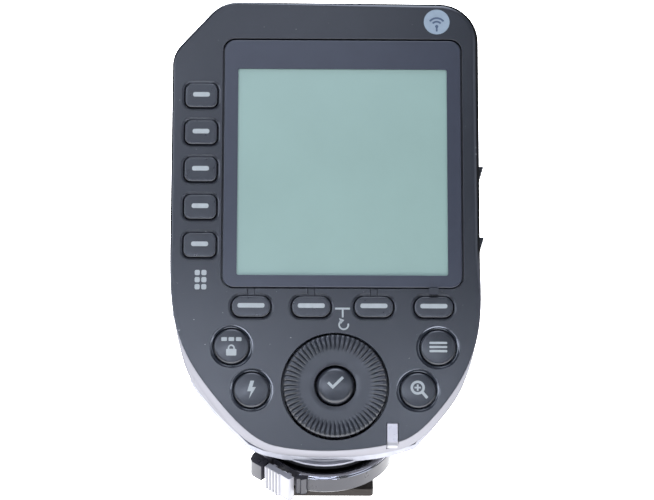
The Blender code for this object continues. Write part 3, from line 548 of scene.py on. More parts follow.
def shaded_along(material, axis, stops, low, high):
    """Multiply a finish's colour by a ramp along one axis, from low to high millimetres, which paints
    light and shade by place.
    """
    tree = material.node_tree
    base = tree.nodes["Principled BSDF"].inputs["Base Color"]
    tone = base.links[0].from_socket
    split = tree.nodes.new("ShaderNodeSeparateXYZ")
    link(tree, tree.nodes["Texture Coordinate"].outputs["Object"], split.inputs["Vector"])
    scaled = tree.nodes.new("ShaderNodeMapRange")
    scaled.inputs["From Min"].default_value = low * MM
    scaled.inputs["From Max"].default_value = high * MM
    link(tree, split.outputs[axis], scaled.inputs["Value"])
    shade = ramp(tree, scaled.outputs["Result"], stops)
    link(tree, mixed(tree, tone, shade, blend="MULTIPLY"), base)
    return material


def surface(name, colour, roughness, mottle=0.12, mottle_scale=260.0, grain=0.25,
            grain_scale=5200.0, gloss_spread=0.06, coat=0.0, specks=0.0, specular=0.5):
    """Moulded, painted or plated finish: slow colour drift, fine grain, uneven gloss, dust."""
    material, tree, shader, coordinates = new_material(name)
    shader.inputs["Coat Weight"].default_value = coat
    shader.inputs["Coat Roughness"].default_value = COAT_ROUGHNESS
    shader.inputs["Specular IOR Level"].default_value = specular
    drift = noise(tree, coordinates, mottle_scale, 4.0)
    tone = ramp(tree, drift, [(0.3, tinted(colour, 1 - mottle)), (0.7, tinted(colour, 1 + mottle))])
    fine = noise(tree, coordinates, grain_scale, 2.0)
    if specks:
        dust = noise(tree, coordinates, 1500.0, 1.0)
        mask = ramp(tree, dust, [(0.77, 0.0), (0.80, specks)])
        tone = mixed(tree, tone, (0.5, 0.5, 0.5, 1.0), mask)
    link(tree, tone, shader.inputs["Base Color"])
    gloss = ramp(tree, noise(tree, coordinates, mottle_scale * 3, 3.0),
                 [(0.3, max(0.02, roughness - gloss_spread)), (0.7, roughness + gloss_spread)])
    link(tree, gloss, shader.inputs["Roughness"])
    link(tree, bump(tree, fine, grain), shader.inputs["Normal"])
    return material


def brushed(name, colour, roughness, stretch):
    """Turned or drawn metal: streaks along the stretch's short axis."""
    material, tree, shader, coordinates = new_material(name)
    shader.inputs["Metallic"].default_value = 1.0
    mapping = tree.nodes.new("ShaderNodeMapping")
    mapping.inputs["Scale"].default_value = stretch
    link(tree, coordinates, mapping.inputs["Vector"])
    streaks = noise(tree, mapping.outputs["Vector"], 900.0, 5.0, 0.7)
    tone = ramp(tree, streaks, [(0.25, tinted(colour, 0.7)), (0.75, tinted(colour, 1.15))])
    link(tree, tone, shader.inputs["Base Color"])
    gloss = ramp(tree, streaks, [(0.3, roughness * 0.7), (0.7, roughness * 1.4)])
    link(tree, gloss, shader.inputs["Roughness"])
    link(tree, bump(tree, streaks, 0.15), shader.inputs["Normal"])
    return material


def print_ink(name, colour):
    return surface(name, colour, 0.5, mottle=0.06, mottle_scale=900.0, grain=0.3,
                   grain_scale=9000.0)


SHELL = surface("shell_satin", (0.0085, 0.0098, 0.0130), 0.32, mottle=0.06, mottle_scale=90.0,
                grain=0.22, gloss_spread=0.015, specks=0.30)
# The sides are black like the face: their pale colour near the chin, which fades to black between y -27
# and -15 mm, is a painted sheen of the bright ground below.
SIDE_PAINTED_SHEEN = shaded_along(surface("shell_side_painted_sheen", (0.165, 0.163, 0.175), 0.55, mottle=0.05,
                            mottle_scale=120.0, grain=0.12, specular=0.0),
                    "Y", [(0.0, 1.0), (1.0, 0.045)], -27.0, -15.0)
RECESS = surface("shell_polished", (0.010, 0.012, 0.016), 0.07, grain=0.02,
                 gloss_spread=0.01, specular=0.55)
BORDER = surface("window_border", (0.0155, 0.018, 0.027), 0.33, mottle=0.06, grain=0.01,
                 gloss_spread=0.015)
LCD = surface("lcd_glass", (0.146, 0.208, 0.179), 0.30, mottle=0.035, mottle_scale=55.0,
              grain=0.01, grain_scale=7000.0, gloss_spread=0.01)
KEYCAP = surface("key_satin", (0.010, 0.0115, 0.015), 0.33, mottle=0.12, mottle_scale=200.0,
                 grain=0.15, grain_scale=6500.0)
DIAL = surface("dial_satin", (0.011, 0.0125, 0.016), 0.36, mottle=0.15, mottle_scale=180.0,
               grain=0.25, grain_scale=6000.0)
INK = print_ink("print_pale", (0.205, 0.22, 0.215))
BADGE = print_ink("print_badge", (0.143, 0.178, 0.205))
BADGE_DARK = print_ink("print_badge_dark", (0.030, 0.045, 0.075))
PIPE_END = surface("light_pipe_end", (0.14, 0.14, 0.15), 0.4, mottle=0.05, specular=0.1)
PIPE = surface("light_pipe_milky", (0.275, 0.262, 0.278), 0.30, mottle=0.05, grain=0.08, coat=0.3)
COLLAR = surface("collar_grey", (0.017, 0.0165, 0.021), 0.32, mottle=0.06, mottle_scale=150.0,
                 grain=0.15, specular=0.36)
RIM = brushed("turned_rim", (0.36, 0.36, 0.39), 0.12, (0.2, 0.2, 6.0))
GRIP = surface("grip_pale", (0.225, 0.22, 0.232), 0.42, mottle=0.05, grain=0.15)
FOOT_PLASTIC = surface("foot_brown_black", (0.016, 0.013, 0.011), 0.5, mottle=0.12, grain=0.3,
                       specular=0.12)
# The base is black: the pale colour on its side above z 8.95 mm is a painted sheen of the bright ground
# below, and only its underside and neck keep the black.
BASE_PLASTIC_PAINTED_SHEEN = shaded_along(surface("base_black_painted_sheen", (0.30, 0.30, 0.325), 0.55, grain=0.3,
                                    specular=0.0),
                            "Z", [(0.0, 0.035), (1.0, 1.0)], 8.8, 8.95)
ENCODER = surface("encoder_black", (0.010, 0.011, 0.013), 0.5, grain=0.2)
STEEL = brushed("nickel_steel", (0.62, 0.62, 0.64), 0.24, (1.0, 1.0, 7.0))
BRASS = brushed("gold_contact", (0.80, 0.60, 0.28), 0.22, (5.0, 5.0, 1.0))
BOARD = surface("solder_mask", (0.02, 0.13, 0.06), 0.35, mottle=0.25, mottle_scale=500.0,
                coat=0.4)
LAMP = surface("lamp_deep_red", (0.12, 0.006, 0.008), 0.25, mottle=0.1, grain=0.03, specular=0.2)
CELL = surface("cell_sleeve", (0.10, 0.11, 0.14), 0.3, mottle=0.1, grain=0.05, coat=0.5)
SLOT_FINISH = {
    "shell": SHELL, "window": BORDER, "lcd": LCD, "light_pipe": PIPE, "keys": KEYCAP,
    "dial": DIAL, "collar": COLLAR, "release": GRIP, "foot": FOOT_PLASTIC, "steel": STEEL,
    "brass": BRASS, "board": BOARD, "lamp": LAMP, "cell": CELL,
}


def finish_cad_nodes():
    """Every CAD node wears its slot's finish, apart from the base, whose side has a painted sheen, and
    the encoder.
    """
    for name, item in NODES.items():
        item.data.materials.clear()
        item.data.materials.append(SLOT_FINISH[SLOT_OF[name]])
    NODES["shoe_base"].data.materials[0] = BASE_PLASTIC_PAINTED_SHEEN
    NODES["encoder_body"].data.materials[0] = ENCODER


# --- casing ----------------------------------------------------------------------------------

OUTLINE = slab_outline()
GROUP_KEYS = [f"group_button_{number}" for number in range(1, 6)]
FUNCTION_KEYS = [f"function_button_{number}" for number in range(1, 5)]
ROUND_KEYS = ["mode_button", "flash_test_button", "menu_button", "zoom_button"]
SWITCHES = ["power_switch_knob", "assist_switch_knob"]
FLANGE = 0.9                 # how far a key's hidden flange reaches round the key
FLANGE_TOP = -2.3
GROUP_RADIUS = 1.2
FUNCTION_RADIUS = 1.75


def key_size(node):
    """Centre, width and height of a flat key, without its flange."""
    centre, width, height = footprint(node)
    return centre, width - 2 * FLANGE, height - 2 * FLANGE


def ring_at(outline, depth, inward=0.0):
    """The slab's section at a depth behind the panel, drawn in by a distance."""
    leans = [lean + inward for lean in flare(outline, depth)]
    return [(x, y, -depth) for x, y in inset(outline, leans)]


def recess_levels():
    """A key's recess: rounded lip, sloping rim, then the throat down through the face."""
    levels = lip_levels(LIP, KEY_RIM - LIP)
    levels += [(KEY_RIM - LIP - 0.02, -RIM_STEP), (KEY_RIM - LIP - 0.08, -RIM_STEP - 0.02)]
    levels += [(KEY_THROAT + 0.05, -RIM_FALL), (KEY_THROAT, -RIM_FALL - 0.05)]
    return levels + [(KEY_THROAT, -PLATE)]


def round_recess_levels():
    """A shallow, polished hollow ring round a round key."""
    levels = lip_levels(ROUND_LIP, ROUND_RIM - ROUND_LIP)
    width = ROUND_RIM - ROUND_LIP - ROUND_THROAT
    for turn in quarter(6, 1):
        levels.append((ROUND_THROAT + width * (1 - math.sin(turn)),
                       -ROUND_LIP - ROUND_HOLLOW * (1 - math.cos(turn))))
    return levels + [(ROUND_THROAT, -PLATE)]


def face_openings():
    """Rings of every opening in the face, each with its material index."""
    holes = []
    for node in GROUP_KEYS + FUNCTION_KEYS:
        centre, width, height = key_size(node)
        radius = GROUP_RADIUS if node in GROUP_KEYS else FUNCTION_RADIUS
        holes.append((rings_of(grown_box(centre, width, height, radius), recess_levels()), 0))
    for node in ROUND_KEYS:
        centre = middle(node).xy
        holes.append((rings_of(grown_circle(centre, 0.0, 56), round_recess_levels()), 1))
    dial = middle("select_dial").xy
    levels = lip_levels(DIAL_LIP) + [(0.0, -PLATE)]
    holes.append((rings_of(grown_circle(dial, DIAL_HOLE, 96), levels), 1))
    holes.append((window_rings(), 0))
    return holes


def window_rings():
    """The window's pocket, its ledge and the opening under it."""
    centre, width, height = footprint("screen_window")
    pocket = grown_box(centre, width + 2 * WINDOW_GAP, height + 2 * WINDOW_GAP,
                       WINDOW_RADIUS + WINDOW_GAP)
    centre, width, height = footprint("lcd_module")
    view = grown_box(centre, width - 0.6, height - 0.6, 0.8)
    rings = rings_of(pocket, lip_levels(0.08) + [(0.0, WINDOW_LEDGE)])
    return rings + rings_of(view, [(0.0, WINDOW_LEDGE), (0.0, -PLATE)])


def necks():
    """Grooves that join each function key's recess to the window's pocket."""
    tools = []
    top = span("screen_window")[0].y - 0.22
    half = NECK_WIDTH / 2
    corner = 0.08
    side = [(half - corner, NECK_FLOOR), (half, NECK_FLOOR + corner), (half + 0.05, 0.0),
            (half + 0.2, 1.0)]
    profile = side[1:] + [(-across, rise) for across, rise in side[::-1]] + side[:1]
    for node in FUNCTION_KEYS:
        (x, y), _, height = key_size(node)
        rings = [[(x + across, place, rise) for across, rise in profile]
                 for place in (y + height / 2 + 0.3, top)]
        tools.append(solid("neck_" + node, rings))
    return tools


def underside_cutter():
    return cutter("underside_cutter", (-FAR, -FAR, -FAR), (FAR, FAR, UNDERSIDE), FOOT)


def smooth_share(value, low, high):
    share = min(1.0, max(0.0, (value - low) / (high - low)))
    return share * share * (3 - 2 * share)


def edge_size(x, y):
    """Radius of the face's rounded edge: crisp round the chin, soft above and on the right."""
    soft = EDGE_LEFT + (EDGE_RIGHT - EDGE_LEFT) * smooth_share(x, -20.0, 20.0)
    return EDGE_CRISP + (soft - EDGE_CRISP) * smooth_share(y, *EDGE_CHANGE)


def edge_ring(outline, turn):
    """One ring of the rounded edge, from the face (0) to the side (90 degrees)."""
    sizes = [edge_size(x, y) for x, y in outline]
    leans = [lean + size * (1 - math.sin(turn)) for lean, size in zip(flare(outline, 0.5), sizes)]
    places = inset(outline, leans)
    return [(x, y, -size * (1 - math.cos(turn))) for (x, y), size in zip(places, sizes)]


def socket_cutter(node, outline_at):
    """A flared hole through the left wall, round a socket."""
    _, y, z = middle(node)
    rings = rings_of(outline_at, [(0.5, 3.0), (0.5, 0.0), (0.0, -0.5), (0.0, -3.0)])
    outward = side_frame(-HALF_WIDTH, y, z) @ Matrix.Rotation(math.pi, 4, "X")
    return solid(node + "_cutter", rings, matrix=outward)


def front_shell():
    steps = 8
    rings = [edge_ring(OUTLINE, turn) for turn in quarter(steps)]
    rings += [ring_at(OUTLINE, 3.0), ring_at(OUTLINE, 6.0), ring_at(OUTLINE, SEAM - 0.25),
              ring_at(OUTLINE, SEAM, 0.2), ring_at(OUTLINE, SEAM, WALL)]
    rings.append(ring_at(OUTLINE, PLATE, WALL))
    # the side's finish, pale near the chin as a painted sheen of the bright ground, starts on the third
    # step of the rounded edge and ends at the rear seam
    shell = solid("front_shell", rings, face_openings(), bands=[(3, steps + 4, 2)])
    paint(shell, SHELL, RECESS, SIDE_PAINTED_SHEEN)
    tools = necks() + [underside_cutter()]
    low, high = span("light_pipe")
    tools.append(cutter("pipe_slot", (low.x - 0.12, -FAR, low.z - 0.2),
                        (high.x + 0.12, high.y + 0.12, 2)))
    for node in SWITCHES:
        low, high = span(node)
        slot = cutter(node + "_slot",
                      (HALF_WIDTH - 3, -SWITCH_TRAVEL - SWITCH_SPAN, low.z - 0.3),
                      (HALF_WIDTH + 3, SWITCH_SPAN, high.z + 0.3))
        slot.matrix_world = PANEL @ Matrix.Translation((0, knob_place(node) * MM, 0))
        tools.append(slot)
    tools.append(socket_cutter("usb_port", grown_box((0, 0), 9.6, 3.9, 1.8)))
    tools.append(socket_cutter("sync_jack", grown_circle((0, 0), 2.5, 40)))
    carve(shell, *tools)
    stand_for(shell, "front_panel", SHELL, RECESS, SIDE_PAINTED_SHEEN)


def knob_place(node):
    """Where a switch's knob stands along the side; its tallest point is 1.25 above that."""
    back = PANEL.inverted()
    points = [back @ vert.co / MM for vert in NODES[node].data.vertices]
    return max(points, key=lambda point: point.x).y - 1.25


def back_cap(bm, row):
    """Faces across the back: the slope, the strips of the bend, and the flat."""
    folds = len(FOLDS)
    first_left = next(i for i, (x, y) in enumerate(OUTLINE) if x < 0 and y == FOLDS[0])
    left = [row[first_left + step] for step in range(folds)]
    right = [row[-step] for step in range(folds)]
    bm.faces.new(row[:first_left + 1])
    for step in range(folds - 1):
        bm.faces.new((left[step], left[step + 1], right[step + 1], right[step]))
    bm.faces.new(row[first_left + folds - 1:len(row) - folds + 2])


def back_ring(inward, above):
    """A ring of the rear shell that keeps a height above the back surface."""
    leans = [lean + inward for lean in flare(OUTLINE, SEAM)]
    places = inset(OUTLINE, leans)
    return [(x, y, -back_depth(y) + above) for x, y in places]


def rear_shell():
    seam = SEAM + 0.3
    rings = [ring_at(OUTLINE, seam, WALL), ring_at(OUTLINE, seam, 0.2),
             ring_at(OUTLINE, seam + 0.25)]
    for turn in quarter(7):
        rings.append(back_ring(REAR_EDGE * (1 - math.cos(turn)), REAR_EDGE * (1 - math.sin(turn))))
    inner = [back_ring(WALL + 0.4, 2.2), rings[0]]
    bm = bmesh.new()
    rows = [[bm.verts.new(Vector(point) * MM) for point in ring] for ring in inner + rings[1:]]
    walls_between(bm, rows, 0)
    back_cap(bm, rows[-1])
    back_cap(bm, rows[0])
    # the side rows wear the side finish, whose pale colour near the chin is a painted sheen of the
    # bright ground
    side = {vert for row in rows[1:5] for vert in row}
    for face in bm.faces:
        if side.issuperset(face.verts):
            face.material_index = 1
    shell = finish_body("rear_shell", bm, PANEL)
    paint(shell, SHELL, SIDE_PAINTED_SHEEN)
    low, high = span("battery_door")
    tools = [cutter("door_recess", (low.x - DOOR_GAP, low.y - DOOR_GAP, -BEYOND),
                    (high.x + DOOR_GAP, BEYOND, high.z + 0.2)),
             cutter("cell_opening", (-26.1, -17.6, -BEYOND), (26.1, 14.4, -20)),
             underside_cutter()]
    centre, width, height = footprint("assist_lamp_window")
    pocket = rings_of(grown_box(centre, width + 0.5, height + 0.5, 1.95),
                      [(0.0, -25.7), (0.0, -CASE_DEPTH + 0.25), (0.3, -CASE_DEPTH), (0.3, -BEYOND)])
    opening = rings_of(grown_box(centre, width - 1.6, height - 1.4, 1.4), [(0, -20), (0, -BEYOND)])
    tools += [solid("lamp_pocket", pocket), solid("lamp_opening", opening)]
    for number in (1, 2):
        centre = middle(f"case_screw_{number}").xy
        well = rings_of(grown_circle(centre, 2.1, 32), [(0.0, -17.4), (0.0, -BEYOND)])
        tools.append(solid(f"screw_well_{number}", well))
    carve(shell, *tools)
    stand_for(shell, "rear_cover", SHELL, SIDE_PAINTED_SHEEN)


def door():
    """Battery door with a ribbed thumb pad and an arrow that shows which way it slides."""
    low, high = span("battery_door")
    corners = [(high.x, low.y), (high.x, high.y), (low.x, high.y), (low.x, low.y)]
    outline = grown(rounded(corners, [1.5, 0.4, 0.4, 1.5]))
    levels = [(0.0, high.z), (0.0, low.z + 0.4), (-0.12, low.z + 0.12), (-0.4, low.z)]
    cover = solid("door_cover", rings_of(outline, levels))
    grooves = []
    for number in range(6):
        y = 11.2 - number * 1.7
        outline = grown_box((0, y), 17.0, 0.8, 0.38)
        grooves.append(block(f"door_groove_{number}", outline, low.z - 1.0, low.z + 0.45, 0.15))
    arrow = [(0.0, 15.6), (-2.2, 13.2), (2.2, 13.2)]
    rings = rings_of(grown(rounded(arrow, [0.3] * 3)), [(0.0, low.z + 0.3), (0.0, low.z - 1.0)])
    carve(cover, *grooves, solid("door_arrow", rings))
    stand_for(cover, "battery_door", SHELL)


# --- screen ----------------------------------------------------------------------------------

def window():
    """Window pane: a dark border, and the display's picture area just behind it."""
    floor = span("screen_window")[0].z
    pane = grown_box(*footprint("screen_window"), WINDOW_RADIUS)
    centre, width, height = footprint("lcd_module")
    view = grown_box(centre, width - 1.8, height - 2.0, 0.35, 3)
    sunk = -0.3
    border = block("window_border", pane, floor, 0.0, 0.14,
                   holes=[(rings_of(view, [(0.0, 0.0), (0.0, sunk), (0.0, floor)]), 0)])
    stand_for(border, "screen_window", BORDER)
    # the glass fills the border's opening
    display = block("display_glass", view, floor + 0.1, sunk, 0.02)
    wear(display, NODES["lcd_module"]["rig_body"], "lcd", LCD)


def light_strip():
    """Milky strip that runs over the panel's lower edge; its lower end is darker."""
    low, high = span("light_pipe")
    half = (high.x - low.x) / 2
    edge = low.y
    corners = [(high.y, 0.02), (high.y, -1.5), (edge + 1.3, -1.5), (edge + 1.3, low.z),
               (edge - 0.06, low.z), (edge, -0.55), (edge + 0.6, 0.02)]
    outline = rounded(corners[::-1], [0.35, 0.2, 0.1, 0.1, 0.1, 0.1, 0.08], 4)
    matrix = side_frame((low.x + high.x) / 2, 0, 0)
    strip = block("light_strip", grown(outline), -half, half, 0.09, matrix, 0.09)
    for face in strip.data.polygons:
        if face.normal.x < -0.5:
            face.material_index = 1
    stand_for(strip, "light_pipe", PIPE, PIPE_END)


# --- keys, dial and prints -------------------------------------------------------------------

PRINT_RISE = 0.025
BADGE_PLACE = (21.08, 29.33)
BADGE_RADIUS = 2.45
GROUP_MARK = (-23.21, -20.9)
RESET_MARK = (3.46, -29.34)
RESET_RADIUS = 0.85


def printed(name, outlines, material, body, matrix=PANEL, height_at=None, holes=(), base=0.0):
    """A printed mark: thin closed shapes that follow the surface they lie on."""
    bm = bmesh.new()
    for index, outline in enumerate(outlines):
        loops = [outline] + [hole for owner, hole in holes if owner == index]
        upper, lower = [[[bm.verts.new((x * MM, y * MM, lift * MM)) for x, y in loop]
                         for loop in loops] for lift in (PRINT_RISE, -PRINT_RISE)]
        for pair in zip(upper, lower):
            walls_between(bm, pair, 0)
        for layer in (upper, lower):
            fill(bm, layer)
    if height_at:
        bend_over(bm, height_at)
    for vert in bm.verts:
        vert.co.z += base * MM
    item = finish_body(name, bm, matrix, 30)
    wear(item, body, None, material)
    return item


def bend_over(bm, height_at):
    """Cut flat shapes into small squares and lay them over a curved surface."""
    pitch = 0.35
    reach = max(max(abs(vert.co.x), abs(vert.co.y)) for vert in bm.verts) / MM
    count = int(reach / pitch) + 1
    for normal in (Vector((1, 0, 0)), Vector((0, 1, 0))):
        for step in range(-count, count + 1):
            bmesh.ops.bisect_plane(bm, geom=bm.verts[:] + bm.edges[:] + bm.faces[:],
                                   plane_co=normal * (step * pitch * MM), plane_no=normal)
    for vert in bm.verts:
        vert.co.z += height_at(vert.co.x / MM, vert.co.y / MM) * MM


def moved(points, x, y, turn=0.0, scale=1.0):
    c, s = math.cos(turn) * scale, math.sin(turn) * scale
    return [(x + px * c - py * s, y + px * s + py * c) for px, py in points]


def flat_key(node, radius, mark):
    centre, width, height = key_size(node)
    low, top = (corner.z for corner in span(node))
    levels = [(-0.6, top), (-0.26, top - 0.01)]
    levels += [(grow, height - 0.01) for grow, height in edge_levels(0.2, top)[1:]]
    levels += [(0.0, FLANGE_TOP + 0.05), (FLANGE, FLANGE_TOP), (FLANGE, low)]
    cap = solid(node + "_cap", rings_of(grown_box(centre, width, height, radius), levels))
    stand_for(cap, node, KEYCAP)
    bar_width, bar_height, rise = mark
    bar = rounded_box((centre[0], centre[1] + rise), bar_width, bar_height, bar_height * 0.42)
    printed(node + "_bar", [bar], INK, NODES[node]["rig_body"], base=top)


def dome(top, fall):
    return lambda x, y: top - fall * (x * x + y * y)


def domed_profile(top, low, crown, shoulder, radius, drop, flange):
    """A crowned button: shallow dome, rounded shoulder, straight side and hidden flange."""
    profile = [(0.0, top)]
    for step in range(1, 7):
        reach = shoulder * step / 6
        profile.append((reach, crown(reach, 0)))
    start = crown(shoulder, 0)
    for turn in quarter(7, 1):
        profile.append((shoulder + (radius - shoulder) * math.sin(turn),
                        start - drop * (1 - math.cos(turn))))
    profile.append((radius, FLANGE_TOP))
    if flange:
        profile.append((radius + flange, FLANGE_TOP))
    return profile + [(radius + flange, low), (0.0, low)]


def round_button(node, mark, fall, shoulder, drop, flange, steps):
    """A crowned button and the mark printed on its dome."""
    outlines, holes = mark
    low, high = span(node)
    crown = dome(high.z, fall)
    radius = (high.x - low.x) / 2 - flange
    profile = domed_profile(high.z, low.z, crown, shoulder, radius, drop, flange)
    matrix = panel_place(node)
    stand_for(lathe(node + "_cap", profile, steps, matrix), node, KEYCAP)
    printed(node + "_mark", outlines, INK, NODES[node]["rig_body"], matrix, crown, holes)


def bolt():
    return [[(-0.18, 1.68), (0.52, 1.68), (0.16, 0.48), (0.84, 0.48), (-0.42, -1.68),
             (-0.06, -0.30), (-0.76, -0.30)]], []


def magnifier():
    lens = circle((-0.12, 0.47), 1.32, 40)
    hole = circle((-0.12, 0.47), 0.86, 32)[::-1]
    arm, half = 0.58, 0.16
    plus = [(half, -arm), (half, -half), (arm, -half), (arm, half), (half, half), (half, arm),
            (-half, arm), (-half, half), (-arm, half), (-arm, -half), (-half, -half), (-half, -arm)]
    handle = moved(rounded_box((0, 0), 1.35, 0.52, 0.12, 3), 1.22, -0.95, math.radians(-50))
    return [lens, moved(plus, -0.12, 0.47), handle], [(0, hole)]


def padlock(y):
    body = rounded_box((0, y - 0.42), 1.9, 1.25, 0.18, 3)
    outer, inner = 0.66, 0.38
    centre, foot = (0, y + 0.36), y + 0.15
    shackle = [(outer, foot), *arc(centre, outer, 0, math.pi, 12), (-outer, foot),
               (-inner, foot), *arc(centre, inner, math.pi, 0, 12), (inner, foot)]
    return [body, shackle]


def mode_mark():
    """Three small tiles for the modes, over a padlock."""
    tiles = [rounded_box((x, 1.3), 1.05, 0.72, 0.16, 3) for x in (-1.35, 0.0, 1.35)]
    return tiles + padlock(-0.75), []


def menu_mark():
    return [rounded_box((0, y), 3.3, 0.42, 0.16, 3) for y in (0.82, 0.05, -0.72)], []


def tick_mark():
    return [[(-1.5, 0.34), (-0.45, -0.71), (1.6, 1.34), (1.25, 1.69), (-0.45, -0.01),
             (-1.15, 0.69)]], []


def round_controls():
    marks = [mode_mark(), bolt(), menu_mark(), magnifier()]
    for node, mark in zip(ROUND_KEYS, marks):
        round_button(node, mark, 0.022, 2.75, 0.42, 0.27, 64)
    round_button("set_button", tick_mark(), 0.035, 2.55, 1.15, 0.0, 72)


DIAL_BORE = 3.87
DIAL_RIDGES = 60
RIDGE_START = 6.6
RIDGE_FULL = 7.4
GROOVE = 0.26


def dial_ridge(turn, radius, height):
    """Broad ridges with narrow grooves, which fade in across the dial's ring."""
    share = min(1.0, max(0.0, (radius - RIDGE_START) / (RIDGE_FULL - RIDGE_START)))
    wave = (0.5 + 0.5 * math.cos(DIAL_RIDGES * turn)) ** 3.5
    dip = GROOVE * share * wave
    side = height < 0.6 and radius > 9.5
    return radius - (dip * 0.8 if side else 0.0), height - (0.0 if side else dip)


def dial():
    low = span("select_dial")[0].z
    profile = [(DIAL_BORE, low), (DIAL_BORE, 0.48), (3.90, 0.53), (3.97, 0.56), (5.0, 0.55), (6.2, 0.56),
               (6.6, 0.58), (6.8, 0.62), (7.0, 0.68), (7.4, 0.79), (7.9, 0.88), (8.4, 0.91),
               (8.9, 0.88), (9.2, 0.82), (9.4, 0.73), (9.52, 0.60), (9.58, 0.45), (9.6, 0.25),
               (9.6, -0.35), (9.6, low)]
    ring = lathe("dial_ring", profile, DIAL_RIDGES * 10, panel_place("select_dial"), closed=True,
                 ridge=dial_ridge, angle=60)
    stand_for(ring, "select_dial", DIAL)


def panel_prints():
    """Marks on the face: radio badge, group mark, reset mark and its bracket."""
    x, y = BADGE_PLACE
    printed("badge_disc", [circle(BADGE_PLACE, BADGE_RADIUS, 72)], BADGE, "case")
    waves = [circle((x, y - 0.9), 0.32, 24)]
    for reach in (0.95, 1.65):
        waves.append(arc_band((x, y - 0.9), reach, 0.36, math.radians(38), math.radians(142)))
    waves.append(rounded_box((x, y - 1.45), 0.34, 0.9, 0.1, 2))
    printed("badge_waves", waves, BADGE_DARK, "case", base=PRINT_RISE)
    tiles = []
    for column in (-0.62, 0.62):
        for row in (-1.35, 0.0, 1.35):
            place = (GROUP_MARK[0] + column, GROUP_MARK[1] + row)
            tiles.append(rounded_box(place, 0.95, 1.0, 0.28, 3))
    printed("group_mark", tiles, INK, "case")
    printed("reset_bracket", [
        rounded_box((3.22, -26.28), 2.78, 0.35, 0.08, 2),
        rounded_box((3.27, -27.2), 0.32, 1.5, 0.08, 2),
    ], INK, "case")
    head = [(0.35, 0.0), (-0.55, 0.62), (-0.55, -0.62)]
    start, end = math.radians(105), math.radians(375)
    tip = arc(RESET_MARK, RESET_RADIUS, start, end, 1)[0]
    printed("reset_mark", [
        arc_band(RESET_MARK, RESET_RADIUS, 0.3, start, end),
        moved(head, *tip, start - math.pi / 2, 0.9),
    ], INK, "case")


def arc_band(centre, radius, width, start, end, steps=24):
    """The outline of a stretch of a ring."""
    outer, inner = (arc(centre, radius + side * width / 2, start, end, steps) for side in (1, -1))
    return outer + inner[::-1]


def controls():
    for node in GROUP_KEYS:
        flat_key(node, GROUP_RADIUS, (3.16, 0.88, 0.15))
    for node in FUNCTION_KEYS:
        flat_key(node, FUNCTION_RADIUS, (5.02, 0.85, 0.17))
    round_controls()
    dial()
    panel_prints()


# --- side switches ---------------------------------------------------------------------------

def switch_knobs():
    for node in SWITCHES:
        low, high = span(node)
        y = knob_place(node)
        inner = low.x + 0.7
        tips = []
        for number in range(4):
            place = -1.25 + number * 0.7
            rise = 29.15 + (place + 1.45) * 0.3
            tips += [(rise, place), (rise + 0.22, place + 0.2), (rise + 0.22, place + 0.4)]
        outline = [(low.x, low.y - y), (inner, low.y - y), (inner, -1.45), (29.05, -1.45)] + tips
        outline += [(29.95, 1.42), (inner, 1.45), (inner, high.y - y), (low.x, high.y - y)]
        matrix = PANEL @ Matrix.Translation((0, y * MM, 0))
        knob = block(node + "_cap", grown(outline), low.z, high.z, 0.08, matrix, 0.08, 2)
        stand_for(knob, node, DIAL)


# --- shoe ------------------------------------------------------------------------------------

def collar():
    """Turning collar: satin side, polished top ring, and the lug beside the release button."""
    low, high = span("lock_collar", FOOT)
    bottom, top = low.z, high.z
    radius = 13.3
    wall_top = top - 0.3
    profile = [(10.95, top), (11.1, top + 0.14), (12.45, top + 0.10)]
    for turn in quarter(6, 1):
        profile.append((12.45 + 0.72 * math.sin(turn), wall_top + 0.40 * math.cos(turn)))
    polished = len(profile)
    profile += [(radius, wall_top - 0.12), (radius, bottom + 0.2), (radius - 0.2, bottom),
                (12.2, bottom), (12.2, 5.2), (10.8, 5.2), (10.8, 6.9), (10.95, 6.9)]
    ring = lathe("collar_ring", profile, 160, FOOT, closed=True, bands=range(polished))
    paint(ring, COLLAR, RIM)
    near, far = -4.9, 1.95
    wide = [(far, 12.6), (6.0, 12.6), (5.9, 13.5), (5.2, 14.8), (4.2, 15.3), (far, 15.3)]
    slim = [(near, 12.5), (near, 13.2), (-5.5, 13.45), (-5.9, 12.95), (-6.3, 13.15),
            (-6.8, 12.3), (-6.4, 11.4)]
    lug = [block("lug_wide", grown(wide), bottom, top, 0.15, LUG, 0.1, 3),
           block("lug_slim", grown(slim[::-1]), bottom, top, 0.1, LUG, 0.1, 3)]
    carve(ring, *lug, operation="UNION")
    notch = [(near, 11.9), (far, 11.9), (far, 20.0), (near, 20.0)]
    rings = [[(x, y, z) for x, y in notch] for z in (20.0, 0.0)]
    carve(ring, solid("lug_notch", rings, matrix=LUG))
    stand_for(ring, "lock_collar", COLLAR, RIM)


def release():
    """Ridged push piece in the lug."""
    low, high = span("release_button", LUG)
    face = high.y
    pitch = 0.78
    front = []
    for number in range(5):
        x = high.x - 0.05 - number * pitch
        front += [(x, face), (x - pitch * 0.6, face), (x - pitch * 0.72, face - 0.22),
                  (x - pitch * 0.9, face - 0.22)]
    left, right = low.x, high.x
    rear, notch = 13.3, 12.9
    back = [(left + 0.3, face - 0.12), (left, face - 0.4), (left, rear), (left + 0.9, rear),
            (left + 0.9, notch), (left + 1.7, notch), (left + 1.7, rear), (right - 1.7, rear),
            (right - 1.7, notch), (right - 0.9, notch), (right - 0.9, rear), (right, rear)]
    push = block("release_push", grown(front + back), low.z - 0.95, high.z, 0.08, LUG, 0.08, 3)
    stand_for(push, "release_button", GRIP)


# --- stage -----------------------------------------------------------------------------------

